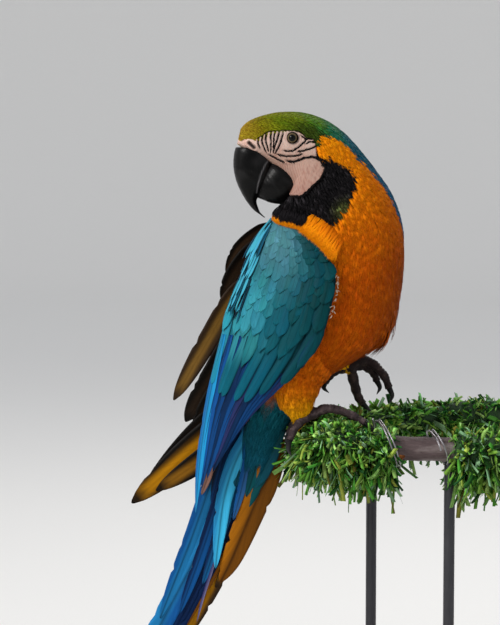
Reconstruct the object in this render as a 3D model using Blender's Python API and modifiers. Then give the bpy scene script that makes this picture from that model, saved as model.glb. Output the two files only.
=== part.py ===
"""A blue-and-yellow macaw, life size, gripping a bent branch on a plain display stand.

The bird stands upright with its breast to +X and its head turned right round to -X.
Lengths are written in millimetres and turned to metres where a mesh is made.
+Z is up, and the origin is the middle of the underside of the base.
"""

import math

import bmesh
import bpy
import numpy as np
from mathutils import Matrix, Vector

MM = 0.001
GAP = 0.3            # clearance between neighbouring solids
VANE = 0.7           # thickness of a flight feather
LAYER = 0.95         # step from one tail feather to the next beneath it
FAR_LAYER = 1.7      # the same for the far wing, whose feathers cross

BASE_RADIUS = 180.0
BASE_HEIGHT = 16.0
ROD_RADIUS = 5.5
ROD_SINK = 9.0       # how far a rod enters the base and the branch
BRANCH_RADIUS = 12.5
GARLAND_RADIUS = 30.0
GARLAND_DROP = 7.0   # the foliage hangs lower than the branch's own axis

EYE_RADIUS = 7.0
EYE_CENTRE = (-68.0, 22.0, 754.0)   # the left eye is mirrored to the far side

TAIL_ROOT = (-104.5, 3.0, 451.0)    # the upper end of the ridge
TAIL_TILT = math.radians(27.0)      # lean of the tail from the vertical, towards -X
TAIL_RECEDE = 0.10                  # how much the tail runs towards +Y for each unit of length

FLESH, SKIN, BILL, EYE = "feather_coat", "foot_skin", "bill_horn", "eye"
WING, FLIGHT, TAIL = "wing_coverts", "flight_feathers", "tail_feathers"
BARK, LEAF, WIRE, STAND, BOARD = "bark", "foliage", "tie_wire", "stand_metal", "stand_board"

FINISHES = {         # colour, roughness, metallic
    FLESH: ((0.90, 0.42, 0.03), 0.85, 0.0),
    SKIN: ((0.10, 0.08, 0.08), 0.70, 0.0),
    BILL: ((0.02, 0.02, 0.022), 0.32, 0.0),
    EYE: ((0.55, 0.55, 0.42), 0.08, 0.0),
    WING: ((0.05, 0.42, 0.52), 0.60, 0.0),
    FLIGHT: ((0.02, 0.20, 0.55), 0.50, 0.0),
    TAIL: ((0.03, 0.30, 0.70), 0.50, 0.0),
    BARK: ((0.16, 0.11, 0.10), 0.85, 0.0),
    LEAF: ((0.10, 0.32, 0.06), 0.60, 0.0),
    WIRE: ((0.45, 0.44, 0.42), 0.40, 1.0),
    STAND: ((0.04, 0.04, 0.045), 0.45, 0.3),
    BOARD: ((0.035, 0.035, 0.04), 0.50, 0.0),
}


# ---------------------------------------------------------------- scene and mesh helpers

def clear_scene():
    for obj in list(bpy.data.objects):
        bpy.data.objects.remove(obj)
    for name in ("macaw", "cutters"):
        collection = bpy.data.collections.new(name)
        bpy.context.scene.collection.children.link(collection)
    return bpy.data.collections["macaw"], bpy.data.collections["cutters"]


def make_materials():
    made = {}
    for name, (colour, roughness, metallic) in FINISHES.items():
        material = bpy.data.materials.new(name)
        material.use_nodes = True
        shader = material.node_tree.nodes["Principled BSDF"]
        shader.inputs["Base Color"].default_value = (*colour, 1.0)
        shader.inputs["Roughness"].default_value = roughness
        shader.inputs["Metallic"].default_value = metallic
        made[name] = material
    return made


def finish_mesh(name, bm, material, sharp_deg=50.0):
    """Turns a bmesh in millimetres into a named object in metres."""
    bmesh.ops.recalc_face_normals(bm, faces=bm.faces)
    bmesh.ops.scale(bm, vec=(MM, MM, MM), verts=bm.verts)
    mesh = bpy.data.meshes.new(name)
    bm.to_mesh(mesh)
    bm.free()
    mesh.shade_smooth()
    mesh.set_sharp_from_angle(angle=math.radians(sharp_deg))
    mesh.materials.append(MATERIALS[material])
    obj = bpy.data.objects.new(name, mesh)
    MACAW.objects.link(obj)
    return obj


def bake(obj):
    """Replaces an object's mesh by its evaluated one, so that no modifier is left."""
    bpy.context.view_layer.update()
    graph = bpy.context.evaluated_depsgraph_get()
    mesh = bpy.data.meshes.new_from_object(obj.evaluated_get(graph))
    obj.modifiers.clear()
    obj.data = mesh
    return obj


def boolean(obj, other, operation="DIFFERENCE"):
    modifier = obj.modifiers.new(operation.lower(), "BOOLEAN")
    modifier.operation = operation
    modifier.object = other
    return bake(obj)


def as_cutter(obj):
    MACAW.objects.unlink(obj)
    CUTTERS.objects.link(obj)
    obj.hide_render = True
    obj.display_type = "WIRE"
    return obj


def swollen(obj, by=GAP):
    """A cutter: a copy of the object, grown along its normals by the clearance."""
    copy = bpy.data.objects.new(obj.name + "_cutter", obj.data.copy())
    MACAW.objects.link(copy)
    as_cutter(copy)
    grow = copy.modifiers.new("grow", "DISPLACE")
    grow.strength = by * MM
    grow.mid_level = 0.0
    return bake(copy)


def carve(obj, *others, by=GAP):
    for other in others:
        cutter = swollen(other, by)
        boolean(obj, cutter)
        bpy.data.objects.remove(cutter)
    return obj


def fuse(name, pieces, material, voxel, triangles):
    """One closed body from several that run into each other: remeshed, smoothed and thinned."""
    whole = pieces[0]
    bpy.ops.object.select_all(action="DESELECT")
    for piece in pieces:
        piece.select_set(True)
    bpy.context.view_layer.objects.active = whole
    bpy.ops.object.join()
    whole.name = name
    remesh = whole.modifiers.new("remesh", "REMESH")
    remesh.mode = "VOXEL"
    remesh.voxel_size = voxel * MM
    smooth = whole.modifiers.new("smooth", "SMOOTH")
    smooth.iterations = 2
    bake(whole)
    thin = whole.modifiers.new("thin", "DECIMATE")
    thin.ratio = min(1.0, triangles / max(1, 2 * len(whole.data.polygons)))
    bake(whole)
    whole.data.materials.clear()
    whole.data.materials.append(MATERIALS[material])
    whole.data.shade_smooth()
    return whole


# ---------------------------------------------------------------- curves, lofts and vanes

def smooth_rows(rows, count):
    """Catmull-Rom curve through rows of numbers, read at count even steps."""
    rows = np.array(rows, float)
    padded = np.vstack([2 * rows[0] - rows[1], rows, 2 * rows[-1] - rows[-2]])
    found = []
    for x in np.linspace(0, len(rows) - 1, count):
        k = min(int(x), len(rows) - 2)
        f = x - k
        a, b, c, d = padded[k:k + 4]
        found.append(0.5 * (2 * b + (c - a) * f + (2 * a - 5 * b + 4 * c - d) * f**2
                            + (3 * b - a - 3 * c + d) * f**3))
    return np.array(found)


def loft(name, rings, material, sharp_deg=50.0):
    """A closed body through rings of points that all have the same count, with flat ends."""
    bm = bmesh.new()
    made = [[bm.verts.new(Vector(p)) for p in ring] for ring in rings]
    count = len(made[0])
    for low, high in zip(made, made[1:]):
        for i in range(count):
            j = (i + 1) % count
            bm.faces.new((low[i], low[j], high[j], high[i]))
    bm.faces.new(made[0])
    bm.faces.new(made[-1])
    return finish_mesh(name, bm, material, sharp_deg)


def section(row, count, power):
    """A ring from (outer x, outer z, inner x, inner z, half width, centre y)."""
    outer, inner = Vector((row[0], 0, row[1])), Vector((row[2], 0, row[3]))
    centre = (outer + inner) / 2 + Vector((0, row[5], 0))
    across, side = (outer - inner) / 2, Vector((0, row[4], 0))
    ring = []
    for i in range(count):
        a = 2 * math.pi * i / count
        c, s = math.cos(a), math.sin(a)
        c = math.copysign(abs(c) ** (2 / power), c)
        s = math.copysign(abs(s) ** (2 / power), s)
        ring.append(centre + across * c + side * s)
    return ring


def tube(name, points, radii, material, count=10, steps=None):
    """A round body along a smooth path, with its own radius at each point of the path."""
    rows = [(*p, r) for p, r in zip(points, radii)]
    rows = smooth_rows(rows, steps or 2 * len(rows))
    path = [Vector(r[:3]) for r in rows]
    rings = []
    up = Vector((0.13, 1.0, 0.21)).normalized()
    for i, (point, radius) in enumerate(zip(path, rows[:, 3].tolist())):
        along = (path[min(i + 1, len(path) - 1)] - path[max(i - 1, 0)]).normalized()
        up = (up - along * up.dot(along)).normalized()
        side = along.cross(up)
        turn = [2 * math.pi * k / count for k in range(count)]
        rings.append([point + radius * (up * math.cos(a) + side * math.sin(a)) for a in turn])
    return loft(name, rings, material)


def plate(name, outer, inner, material):
    """A closed thin body between two grids of points of the same size."""
    bm = bmesh.new()
    top = [[bm.verts.new(Vector(p)) for p in row] for row in outer]
    low = [[bm.verts.new(Vector(p)) for p in row] for row in inner]
    rows, columns = len(top), len(top[0])
    for i in range(rows - 1):
        for j in range(columns - 1):
            bm.faces.new((top[i][j], top[i][j + 1], top[i + 1][j + 1], top[i + 1][j]))
            bm.faces.new((low[i + 1][j], low[i + 1][j + 1], low[i][j + 1], low[i][j]))
    rim = [(i, 0) for i in range(rows)] + [(rows - 1, j) for j in range(1, columns)]
    rim += [(i, columns - 1) for i in range(rows - 2, -1, -1)] + [(0, j) for j in range(columns - 2, 0, -1)]
    for (a, b), (c, d) in zip(rim, rim[1:] + rim[:1]):
        bm.faces.new((top[a][b], top[c][d], low[c][d], low[a][b]))
    return finish_mesh(name, bm, material, 35.0)


def vane_width(f):
    """Share of a feather's full width at a share f of its length: narrow root, blunt pointed tip."""
    root = 0.42 + 0.58 * min(1.0, f / 0.35)
    tip = math.sqrt(max(0.0, 1.0 - ((f - 0.55) / 0.47) ** 2)) if f > 0.55 else 1.0
    return root * max(tip, 0.10)


# ---------------------------------------------------------------- body, bill and eyes

# Each row: nape or breast side x, z; throat or back side x, z; half width; centre y.
BODY_ROWS = [
    (-120, 762, -123, 747, 8, 0), (-111, 770, -110, 738, 15, 0),
    (-95, 776, -95, 731, 21, 0), (-77, 779, -79, 720, 25.5, 0),
    (-56, 778, -68, 704, 29, 0), (-35, 771, -77, 688, 33, 0),
    (-15, 757, -87, 677, 37, 0), (4, 736, -88, 663, 42, 0),
    (19, 716, -83, 648, 47, 0), (32, 696, -78, 635, 51, 0),
    (41, 671, -76, 621, 54, 0), (44, 645, -78, 605, 56, 0),
    (43, 613, -82, 587, 56, 0), (37, 578, -89, 563, 54, 0),
    (24, 551, -97, 535, 50, 0), (-1, 533, -106, 508, 43, 1),
    (-33, 512, -113, 489, 34, 2), (-59, 485, -119, 473, 26, 3),
    (-81, 442, -119, 460, 17, 3),
]
BODY_RINGS = 29
BODY_SIDES = 16
HEAD_ENDS = 0.34      # shares of the way from bill to tail
NECK_ENDS = 0.54

# Culmen x, z; cutting edge x, z; half width; centre y.
UPPER_BILL = [
    (-116, 755, -86, 742, 13, 0), (-124, 744, -86, 728, 14.8, 0),
    (-126.5, 732, -88, 716, 14.8, 0), (-126, 720, -93, 705, 13.4, 0),
    (-122.5, 707, -100, 697, 11.3, 0), (-116, 694, -103.5, 690, 8, 0),
    (-108, 683, -101, 681, 5, 0), (-100.5, 677, -97.5, 676.5, 2.4, 0),
    (-95.7, 673.6, -95, 674.4, 0.7, 0),
]
LOWER_BILL = [
    (-84, 731, -56, 703, 14.5, 0), (-92, 727, -61, 697, 16, 0),
    (-98, 717, -75, 690, 15, 0), (-101, 708, -88, 689, 11.5, 0),
    (-103, 701, -97, 691.5, 8, 0), (-104, 696, -102.5, 693.5, 3, 0),
]


def body_piece(name, start, end):
    rows = smooth_rows(BODY_ROWS, BODY_RINGS)
    first, last = round(start * (BODY_RINGS - 1)), round(end * (BODY_RINGS - 1))
    kept = rows[first:last + 1]
    power = 2.3 if start == 0 else 2.1
    return loft(name, [section(row, BODY_SIDES, power) for row in kept], FLESH, 80.0)


def ball(name, centre, radius, material, segments=12, rings=8):
    bm = bmesh.new()
    bmesh.ops.create_uvsphere(bm, u_segments=segments, v_segments=rings, radius=radius)
    bmesh.ops.rotate(bm, verts=bm.verts, matrix=Matrix.Rotation(math.pi / 2, 3, "X"))
    bmesh.ops.translate(bm, verts=bm.verts, vec=centre)
    return finish_mesh(name, bm, material)


def make_head_and_trunk():
    head = body_piece("head", 0.0, HEAD_ENDS)
    neck = body_piece("neck", HEAD_ENDS, NECK_ENDS)
    trunk = body_piece("trunk", NECK_ENDS, 1.0)
    x, y, z = EYE_CENTRE
    for name, side in (("eye_left", -1), ("eye_right", 1)):
        eye = ball(name, (x, side * y, z), EYE_RADIUS, EYE)
        carve(head, eye)
    upper = loft("bill_upper", [section(r, 12, 2.2) for r in smooth_rows(UPPER_BILL, 13)], BILL)
    lower = loft("bill_lower", [section(r, 12, 2.3) for r in smooth_rows(LOWER_BILL, 8)], BILL)
    carve(neck, head)
    carve(trunk, neck)
    carve(upper, head)
    carve(lower, head, upper)
    keep_largest(upper)
    keep_largest(lower)
    return head, neck, trunk


def keep_largest(obj):
    """Drops the crumbs that a Boolean leaves beside the main body."""
    bm = bmesh.new()
    bm.from_mesh(obj.data)
    groups, seen = [], set()
    for start in bm.faces:
        if start in seen:
            continue
        group, todo = [], [start]
        seen.add(start)
        while todo:
            face = todo.pop()
            group.append(face)
            near = [other for edge in face.edges for other in edge.link_faces if other not in seen]
            seen.update(near)
            todo.extend(set(near))
        groups.append(group)
    groups.sort(key=len)
    for group in groups[:-1]:
        bmesh.ops.delete(bm, geom=group, context="FACES")
    bm.to_mesh(obj.data)
    bm.free()


# ---------------------------------------------------------------- legs and feet

# Thighs: centre x, y, z and radius.
RIGHT_THIGH = [(-50, -16, 546, 36), (-60, -24, 519, 25.5), (-60, -28, 498, 18.5), (-59, -29, 487, 14),
               (-61, -29.5, 477, 9), (-64, -30, 469, 5)]
LEFT_THIGH = [(-22, 26, 548, 28), (-21, 30, 536, 22), (-18, 31, 526, 15), (-13, 31, 519, 8)]

# Each leg: shank path and the toes, each a path whose last two points are the claw.
RIGHT_LEG = {
    "shank": [(-57, -28, 486), (-52, -29, 483), (-46, -30, 481)],
    "toes": [
        [(-46, -30, 481), (-35, -33, 486), (-22, -35, 485), (-8, -37, 480), (4, -38, 473), (12, -38, 465),
         (14, -38, 456)],
        [(-46, -28, 481), (-34, -22, 485), (-20, -17, 482), (-8, -14, 475), (-1, -13, 467), (1, -13, 459)],
        [(-46, -31, 481), (-57, -37, 476), (-66, -43, 467), (-71, -47, 457), (-72, -48, 448), (-69, -48, 441)],
        [(-46, -28, 481), (-57, -23, 478), (-66, -20, 470), (-71, -18, 460), (-73, -18, 451), (-70, -18, 444)],
    ],
}
LEFT_LEG = {
    "shank": [(-20, 31, 528), (-14, 31, 523), (-8, 31, 520)],
    "toes": [
        [(-8, 30, 520), (4, 29, 527), (16, 28, 522), (26, 27, 511), (31, 26, 499), (34, 26, 491), (31, 26, 483)],
        [(-8, 32, 520), (5, 35, 521), (15, 37, 514), (19, 37, 505), (22, 37, 498), (19, 37, 491)],
        [(-8, 32, 520), (-4, 37, 503), (0, 40, 489), (5, 41, 481), (9, 41, 477), (14, 41, 473)],
        [(-8, 30, 520), (-20, 28, 518), (-28, 27, 513), (-34, 27, 505), (-35, 27, 499), (-30, 27, 494)],
    ],
}
TOE_RADIUS = 5.2
CLAW_RADIUS = 3.1


def make_leg(side, thigh_rows, leg, trunk):
    thigh = tube("thigh_" + side, [r[:3] for r in thigh_rows], [r[3] for r in thigh_rows], FLESH, 12, 8)
    pieces = [tube("shank_" + side, leg["shank"], [6.0, 6.0, 6.4], SKIN)]
    claws = []
    for number, path in enumerate(leg["toes"], 1):
        toe = smooth_rows(path[:-2], 9)
        knuckle = [TOE_RADIUS * (1.0 - 0.045 * i + 0.10 * math.cos(i * math.pi)) for i in range(9)]
        pieces.append(tube(f"toe_{side}_{number}", toe, knuckle, SKIN, 10, 12))
        claw = [path[-3], path[-2], path[-1]]
        step = (Vector(claw[1]) - Vector(claw[0])).normalized()
        claw[0] = tuple(Vector(claw[0]) + step * GAP)
        claws.append(tube(f"claw_{side}_{number}", claw, [CLAW_RADIUS, 2.3, 0.35], BILL, 6, 6))
    foot = fuse("foot_" + side, pieces, SKIN, 1.3, 420)
    for claw in claws:
        carve(foot, claw)
    carve(trunk, foot, by=0.7)
    keep_largest(trunk)
    carve(thigh, trunk, by=0.45)
    keep_largest(thigh)
    carve(thigh, foot, by=0.5)
    keep_largest(thigh)
    return thigh, foot, claws


# ---------------------------------------------------------------- wings

# The near wing's rows from shoulder to tip: leading edge x, y, z; trailing edge x, y, z; bulge.
RIGHT_WING = [
    (-50, -44, 671, -84, -14, 678, 7), (-28, -57, 651, -99, -12, 655, 11),
    (-21, -62, 622, -114, -10, 622, 14), (-26, -65, 589, -128, -8, 584, 16),
    (-38, -64, 554, -137, -8, 549, 15), (-58, -60, 517, -146, -9, 512, 13),
    (-88, -50, 478, -154, -10, 470, 9), (-122, -36, 442, -160, -12, 427, 5),
    (-149, -25, 404, -164, -14, 377, 2),
]
RIGHT_OUT = Vector((-0.5, -0.866, 0.0))

# The far wing's rows: leading edge x, z; trailing edge x, z. Its depth comes from far_side().
LEFT_WING = [(6, 668, -66, 676), (26, 640, -88, 658), (24, 605, -106, 634), (6, 568, -119, 606),
             (-20, 532, -127, 572), (-52, 500, -132, 534)]

# The far wing's long feathers, uppermost layer first: width, then x, z from root to tip.
LEFT_FEATHERS = {
    "tertial_1": (21, [(-70, 655), (-104, 640), (-124, 625), (-137, 607)]),
    "tertial_2": (21, [(-68, 635), (-98, 622), (-116, 600), (-126, 578)]),
    "secondary_1": (23, [(-70, 622), (-112, 592), (-149, 545), (-188, 482)]),
    "secondary_2": (24, [(-66, 600), (-112, 560), (-148, 505), (-178, 455)]),
    "secondary_3": (24, [(-60, 585), (-108, 535), (-146, 480), (-170, 443)]),
    "primary_3": (25, [(-45, 560), (-110, 497), (-160, 452), (-219, 393)]),
    "primary_2": (26, [(-38, 545), (-106, 484), (-160, 438), (-229, 380)]),
    "primary_1": (25, [(-32, 530), (-98, 470), (-152, 430), (-208, 387)]),
}


def far_side(x, z):
    """How far out, along +Y, the drooping far wing lies at x and z."""
    across = 72 - 24 * (1 - math.exp(-((x + 20) / 90) ** 2))
    return across - 15 * max(0.0, (z - 605) / 70) ** 2


def wing_surface(rows, out):
    """The point of a wing's sheet at s across it (0 at the leading edge) and t along it."""
    table = smooth_rows(rows, 97)

    def at(s, t, lift=0.0):
        x = min(max(t, 0.0), 1.0) * (len(table) - 1)
        k = min(int(x), len(table) - 2)
        row = table[k] + (table[k + 1] - table[k]) * (x - k)
        lead, trail = Vector(row[:3]), Vector(row[3:6])
        return lead + (trail - lead) * s + out * (row[6] * 4 * s * (1 - s) + lift)

    return at


def scalloped(name, surface, s_range, start, ends, feathers, notch, lifts, material, rows=6):
    """A sheet of several feathers whose far edge shows each one's tip."""
    columns = 2 * feathers + 1
    outer, inner = [], []
    for j in range(columns):
        s = s_range[0] + (s_range[1] - s_range[0]) * j / (columns - 1)
        reach = float(np.interp(s, *zip(*ends))) - (notch if j % 2 == 0 else 0.0)
        begin = float(np.interp(s, *zip(*start)))
        steps = [begin + (reach - begin) * i / (rows - 1) for i in range(rows)]
        thick = [lifts[1] if 0 < i < rows - 1 else lifts[0] + VANE for i in range(rows)]
        ridge = 0.35 if j % 2 else 0.0
        outer.append([surface(s, t, h + ridge) for t, h in zip(steps, thick)])
        inner.append([surface(s, t, lifts[0]) for t in steps])
    return plate(name, outer, inner, material)


def far_feather(name, path, width, depth):
    """One of the far wing's feathers, lying at a depth below its curved outer side."""
    centres, outer, inner = smooth_rows(path, 8), [], []
    for i, (x, z) in enumerate(centres):
        step = centres[min(i + 1, 7)] - centres[max(i - 1, 0)]
        across = np.array([step[1], -step[0]]) / np.linalg.norm(step) * width / 2 * vane_width(i / 7)
        places = [(x + k * across[0], z + k * across[1]) for k in (-1.0, 0.0, 1.0)]
        outer.append([(px, far_side(px, pz) - depth, pz) for px, pz in places])
        inner.append([(px, far_side(px, pz) - depth - VANE, pz) for px, pz in places])
    return plate(name, outer, inner, FLIGHT)


def far_wing_sheet(s, t, lift=0.0):
    row = smooth_rows(LEFT_WING, 61)[round(min(max(t, 0.0), 1.0) * 60)]
    x, z = row[0] + (row[2] - row[0]) * s, row[1] + (row[3] - row[1]) * s
    return Vector((x, far_side(x, z) + lift, z))


def make_wings(body):
    right = wing_surface(RIGHT_WING, RIGHT_OUT)
    coverts = scalloped("wing_right_coverts", right, (0.0, 1.0), [(0, 0.0), (1, 0.0)],
                        [(0, 0.71), (0.5, 0.74), (1, 0.70)], 7, 0.04, (0.6, 3.4), WING, 6)
    scalloped("wing_right_primaries", right, (0.0, 0.44), [(0, 0.30), (1, 0.30)],
              [(0, 0.86), (0.25, 0.96), (0.44, 1.0)], 4, 0.04, (-2.3, -1.2), FLIGHT)
    scalloped("wing_right_secondaries", right, (0.455, 1.0), [(0, 0.30), (1, 0.30)],
              [(0.45, 1.0), (0.8, 0.98), (1, 0.98)], 5, 0.05, (-2.3, -1.2), FLIGHT)
    far = scalloped("wing_left_coverts", far_wing_sheet, (0.0, 1.0), [(0, 0.0), (1, 0.0)],
                    [(0, 0.9), (0.5, 1.0), (1, 0.95)], 6, 0.06, (0.6, 3.0), WING, 5)
    for layer, (name, (width, path)) in enumerate(LEFT_FEATHERS.items()):
        far_feather("wing_left_" + name, path, width, 1.0 + FAR_LAYER * layer)
    for piece in body:
        carve(piece, coverts, far)
        keep_largest(piece)


# ---------------------------------------------------------------- tail

# From the middle pair outwards: length and width.
TAIL_FEATHERS = [(454, 23), (438, 23), (384, 23), (314, 22), (239, 21), (164, 19)]
# Each half of the tail: its lean from the plane of the fold, where its first feather lies and
# the step to the next, and how far its top lies below the ridge.
NEAR_HALF = (1, math.radians(16), 2.5, 4.2, 0.0)
FAR_HALF = (-1, math.radians(24), 14.5, 4.6, 3.2)


def tail_point(half, distance, across, depth):
    """A point of the folded tail, which is bent like a roof along a ridge towards -X."""
    side, lean, _, _, start = half
    along = Vector((-math.sin(TAIL_TILT), TAIL_RECEDE, -math.cos(TAIL_TILT))).normalized()
    back = Vector((-math.cos(TAIL_TILT), 0.0, math.sin(TAIL_TILT)))
    near = along.cross(back).normalized()
    near = near if near.y < 0 else -near
    slope = -back * math.cos(lean) + near * (side * math.sin(lean))
    outward = back * math.sin(lean) + near * (side * math.cos(lean))
    return Vector(TAIL_ROOT) + along * distance - near * start + slope * across - outward * depth


def tail_feather(name, half, number, length, width):
    """A feather lying beneath the ones nearer the ridge."""
    steps, outer, inner = 7, [], []
    centre = half[2] + half[3] * number
    for i in range(steps):
        f = i / (steps - 1)
        squeeze = 0.6 + 0.4 * min(1.0, f * length / 120.0)
        places = [centre * squeeze + k * width / 2 * vane_width(f) for k in (-1.0, 0.0, 1.0)]
        outer.append([tail_point(half, f * length, a, LAYER * number) for a in places])
        inner.append([tail_point(half, f * length, a, LAYER * number + VANE) for a in places])
    return plate(name, outer, inner, TAIL)


def make_tail(trunk):
    for number, (length, width) in enumerate(TAIL_FEATHERS):
        near = tail_feather(f"tail_right_{number + 1}", NEAR_HALF, number, length, width)
        far = tail_feather(f"tail_left_{number + 1}", FAR_HALF, number, length * 0.99, width)
        carve(trunk, near, far)


# ---------------------------------------------------------------- perch and stand

BRANCH_PATH = [(172, -40, 446), (78, -42, 447), (18, -42, 450), (-24, -36, 455), (-46, -6, 456),
               (-38, 38, 453), (4, 84, 452), (68, 118, 455), (184, 142, 460)]
# Foliage sleeves: share of the branch where each starts and ends, and its size.
GARLANDS = {"garland_bend": (0.215, 0.56, 1.0), "garland_front": (0.02, 0.105, 1.1), "garland_rear": (0.575, 0.97, 1.0)}
WIRES = {"wire_front": 0.19, "wire_end": 0.125}
ROD_SHARES = {"stand_rod_front": 0.11, "stand_rod_rear": 0.78}


def branch_line(count=121):
    return smooth_rows(BRANCH_PATH, count)


def branch_point(share):
    line = branch_line()
    return Vector(line[round(share * (len(line) - 1))])


def make_garland(name, start, end, size, branch):
    steps = max(6, round((end - start) * 30))
    path, radii = [], []
    for i in range(steps):
        f = i / (steps - 1)
        point = branch_point(start + (end - start) * f)
        path.append(tuple(point - Vector((0, 0, GARLAND_DROP * size))))
        radii.append(GARLAND_RADIUS * size * (0.72 + 0.28 * math.sin(math.pi * f) ** 0.5))
    sleeve = tube(name, path, radii, LEAF, 8, steps)
    return carve(sleeve, branch)


def make_wire(name, share):
    """A loop of tie wire round the branch, standing a little off it."""
    point, ahead = branch_point(share), branch_point(share + 0.02)
    along = (ahead - point).normalized()
    side = along.cross(Vector((0, 0, 1))).normalized()
    up = side.cross(along)
    radius = BRANCH_RADIUS + 4.0
    ring = []
    for k in range(13):
        a = 2 * math.pi * k / 12 * 0.95
        ring.append(tuple(point + (side * math.cos(a) + up * (math.sin(a) + 0.12)) * radius))
    return tube(name, ring, [0.9] * 13, WIRE, 5, 13)


def cylinder(name, centre, radius, height, material, segments):
    bm = bmesh.new()
    bmesh.ops.create_cone(bm, cap_ends=True, segments=segments, radius1=radius, radius2=radius, depth=height)
    bmesh.ops.translate(bm, verts=bm.verts, vec=centre)
    return finish_mesh(name, bm, material)


def make_perch_and_stand(thigh, foot, claws):
    branch = tube("perch_branch", BRANCH_PATH, [BRANCH_RADIUS] * len(BRANCH_PATH), BARK, 8, 22)
    carve(branch, foot, *claws, by=0.6)
    sleeves = {name: make_garland(name, *facts, branch) for name, facts in GARLANDS.items()}
    carve(sleeves["garland_bend"], thigh, foot, *claws, by=0.6)
    keep_largest(sleeves["garland_bend"])
    for name, share in WIRES.items():
        make_wire(name, share)
    base = cylinder("stand_base", (0, 0, BASE_HEIGHT / 2), BASE_RADIUS, BASE_HEIGHT, BOARD, 32)
    bevel = base.modifiers.new("rounded_edge", "BEVEL")
    bevel.width = 3.0 * MM
    bevel.segments = 1
    bevel.limit_method = "ANGLE"
    bake(base)
    for name, share in ROD_SHARES.items():
        top = branch_point(share)
        low, high = BASE_HEIGHT - ROD_SINK, top.z - BRANCH_RADIUS + ROD_SINK
        rod = cylinder(name, (top.x, top.y, (low + high) / 2), ROD_RADIUS, high - low, STAND, 8)
        carve(branch, rod, by=0.5)
        carve(base, rod, by=0.5)
        sleeve = sleeves["garland_front" if "front" in name else "garland_rear"]
        carve(sleeve, rod, by=0.5)
        keep_largest(sleeve)


# ---------------------------------------------------------------- the whole bird

MACAW, CUTTERS = clear_scene()
MATERIALS = make_materials()
HEAD, NECK, TRUNK = make_head_and_trunk()
RIGHT_THIGH_PIECE, RIGHT_FOOT, RIGHT_CLAWS = make_leg("right", RIGHT_THIGH, RIGHT_LEG, TRUNK)
make_leg("left", LEFT_THIGH, LEFT_LEG, TRUNK)
make_wings([HEAD, NECK, TRUNK])
make_tail(TRUNK)
make_perch_and_stand(RIGHT_THIGH_PIECE, RIGHT_FOOT, RIGHT_CLAWS)
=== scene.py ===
# %% [markdown]
# # A blue-and-yellow macaw, life size, on a perch
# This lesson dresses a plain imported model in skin, feathers, horn and bark. The packed
# model gives the sizes and stays where it is; every piece made here lies on or just
# inside it. Lengths are in millimetres while a shape is worked out and become metres
# when its mesh is made, because a bird is easier to think about in millimetres.

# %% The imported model
import math

import bmesh
import bpy
import numpy as np
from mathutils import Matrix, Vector
from mathutils.kdtree import KDTree


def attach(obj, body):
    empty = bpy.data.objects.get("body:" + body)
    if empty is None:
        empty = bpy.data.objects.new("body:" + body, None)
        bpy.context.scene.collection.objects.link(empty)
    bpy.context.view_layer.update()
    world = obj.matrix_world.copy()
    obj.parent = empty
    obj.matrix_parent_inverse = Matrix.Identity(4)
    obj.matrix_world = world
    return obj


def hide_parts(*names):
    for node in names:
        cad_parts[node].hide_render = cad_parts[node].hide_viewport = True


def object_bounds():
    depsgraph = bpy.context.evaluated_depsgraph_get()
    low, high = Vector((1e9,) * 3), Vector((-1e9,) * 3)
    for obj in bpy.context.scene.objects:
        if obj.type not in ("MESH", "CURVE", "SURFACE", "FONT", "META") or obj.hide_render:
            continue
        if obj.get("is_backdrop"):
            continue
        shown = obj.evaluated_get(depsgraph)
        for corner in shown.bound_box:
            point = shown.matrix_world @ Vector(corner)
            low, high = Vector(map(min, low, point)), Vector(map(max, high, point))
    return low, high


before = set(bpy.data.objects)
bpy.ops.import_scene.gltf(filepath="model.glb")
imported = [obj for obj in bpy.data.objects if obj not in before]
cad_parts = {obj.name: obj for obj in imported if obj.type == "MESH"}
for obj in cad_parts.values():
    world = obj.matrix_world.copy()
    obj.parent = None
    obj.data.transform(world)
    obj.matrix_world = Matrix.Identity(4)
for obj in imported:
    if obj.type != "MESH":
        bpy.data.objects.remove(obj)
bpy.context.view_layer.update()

MM = 0.001
chance = np.random.default_rng(438)

# %% [markdown]
# ## Small tools
# Thousands of feathers are too many for one Python loop each, so the shapes are worked
# out as numpy arrays: one row for each feather, all moved at once.


# %% Vectors, blends and paint
def unit(vectors):
    return vectors / np.maximum(np.linalg.norm(vectors, axis=-1, keepdims=True), 1e-9)


def dot(a, b):
    return (a * b).sum(-1, keepdims=True)


def mix(a, b, share):
    return a + (b - a) * share


def ease(x, low, high):
    """0 below low, 1 above high, and a smooth step between them."""
    f = np.clip((np.asarray(x, float) - low) / (high - low), 0.0, 1.0)
    return f * f * (3 - 2 * f)


def paint(red, green, blue):
    """A colour as a painter reads it, 0 to 255, turned to the linear values Blender wants."""
    c = np.array((red, green, blue)) / 255.0
    return np.where(c <= 0.04045, c / 12.92, ((c + 0.055) / 1.055) ** 2.4)


def paints(*colours):
    return np.array([paint(*c) for c in colours])


def ramp(x, stops, colours):
    """Colours that change along x, one for each stop."""
    return np.stack([np.interp(x, stops, colours[:, k]) for k in range(3)], -1)


def curve_through(rows, shares):
    """Catmull-Rom curve through rows of numbers, read at shares from 0 to 1."""
    rows = np.array(rows, float)
    padded = np.vstack([2 * rows[0] - rows[1], rows, 2 * rows[-1] - rows[-2]])
    x = np.clip(np.asarray(shares, float), 0, 1) * (len(rows) - 1)
    k = np.minimum(x.astype(int), len(rows) - 2)
    f = (x - k)[..., None]
    a, b, c, d = (padded[k + i] for i in range(4))
    return 0.5 * (2 * b + (c - a) * f + (2 * a - 5 * b + 4 * c - d) * f**2 + (3 * b - a - 3 * c + d) * f**3)


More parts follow.
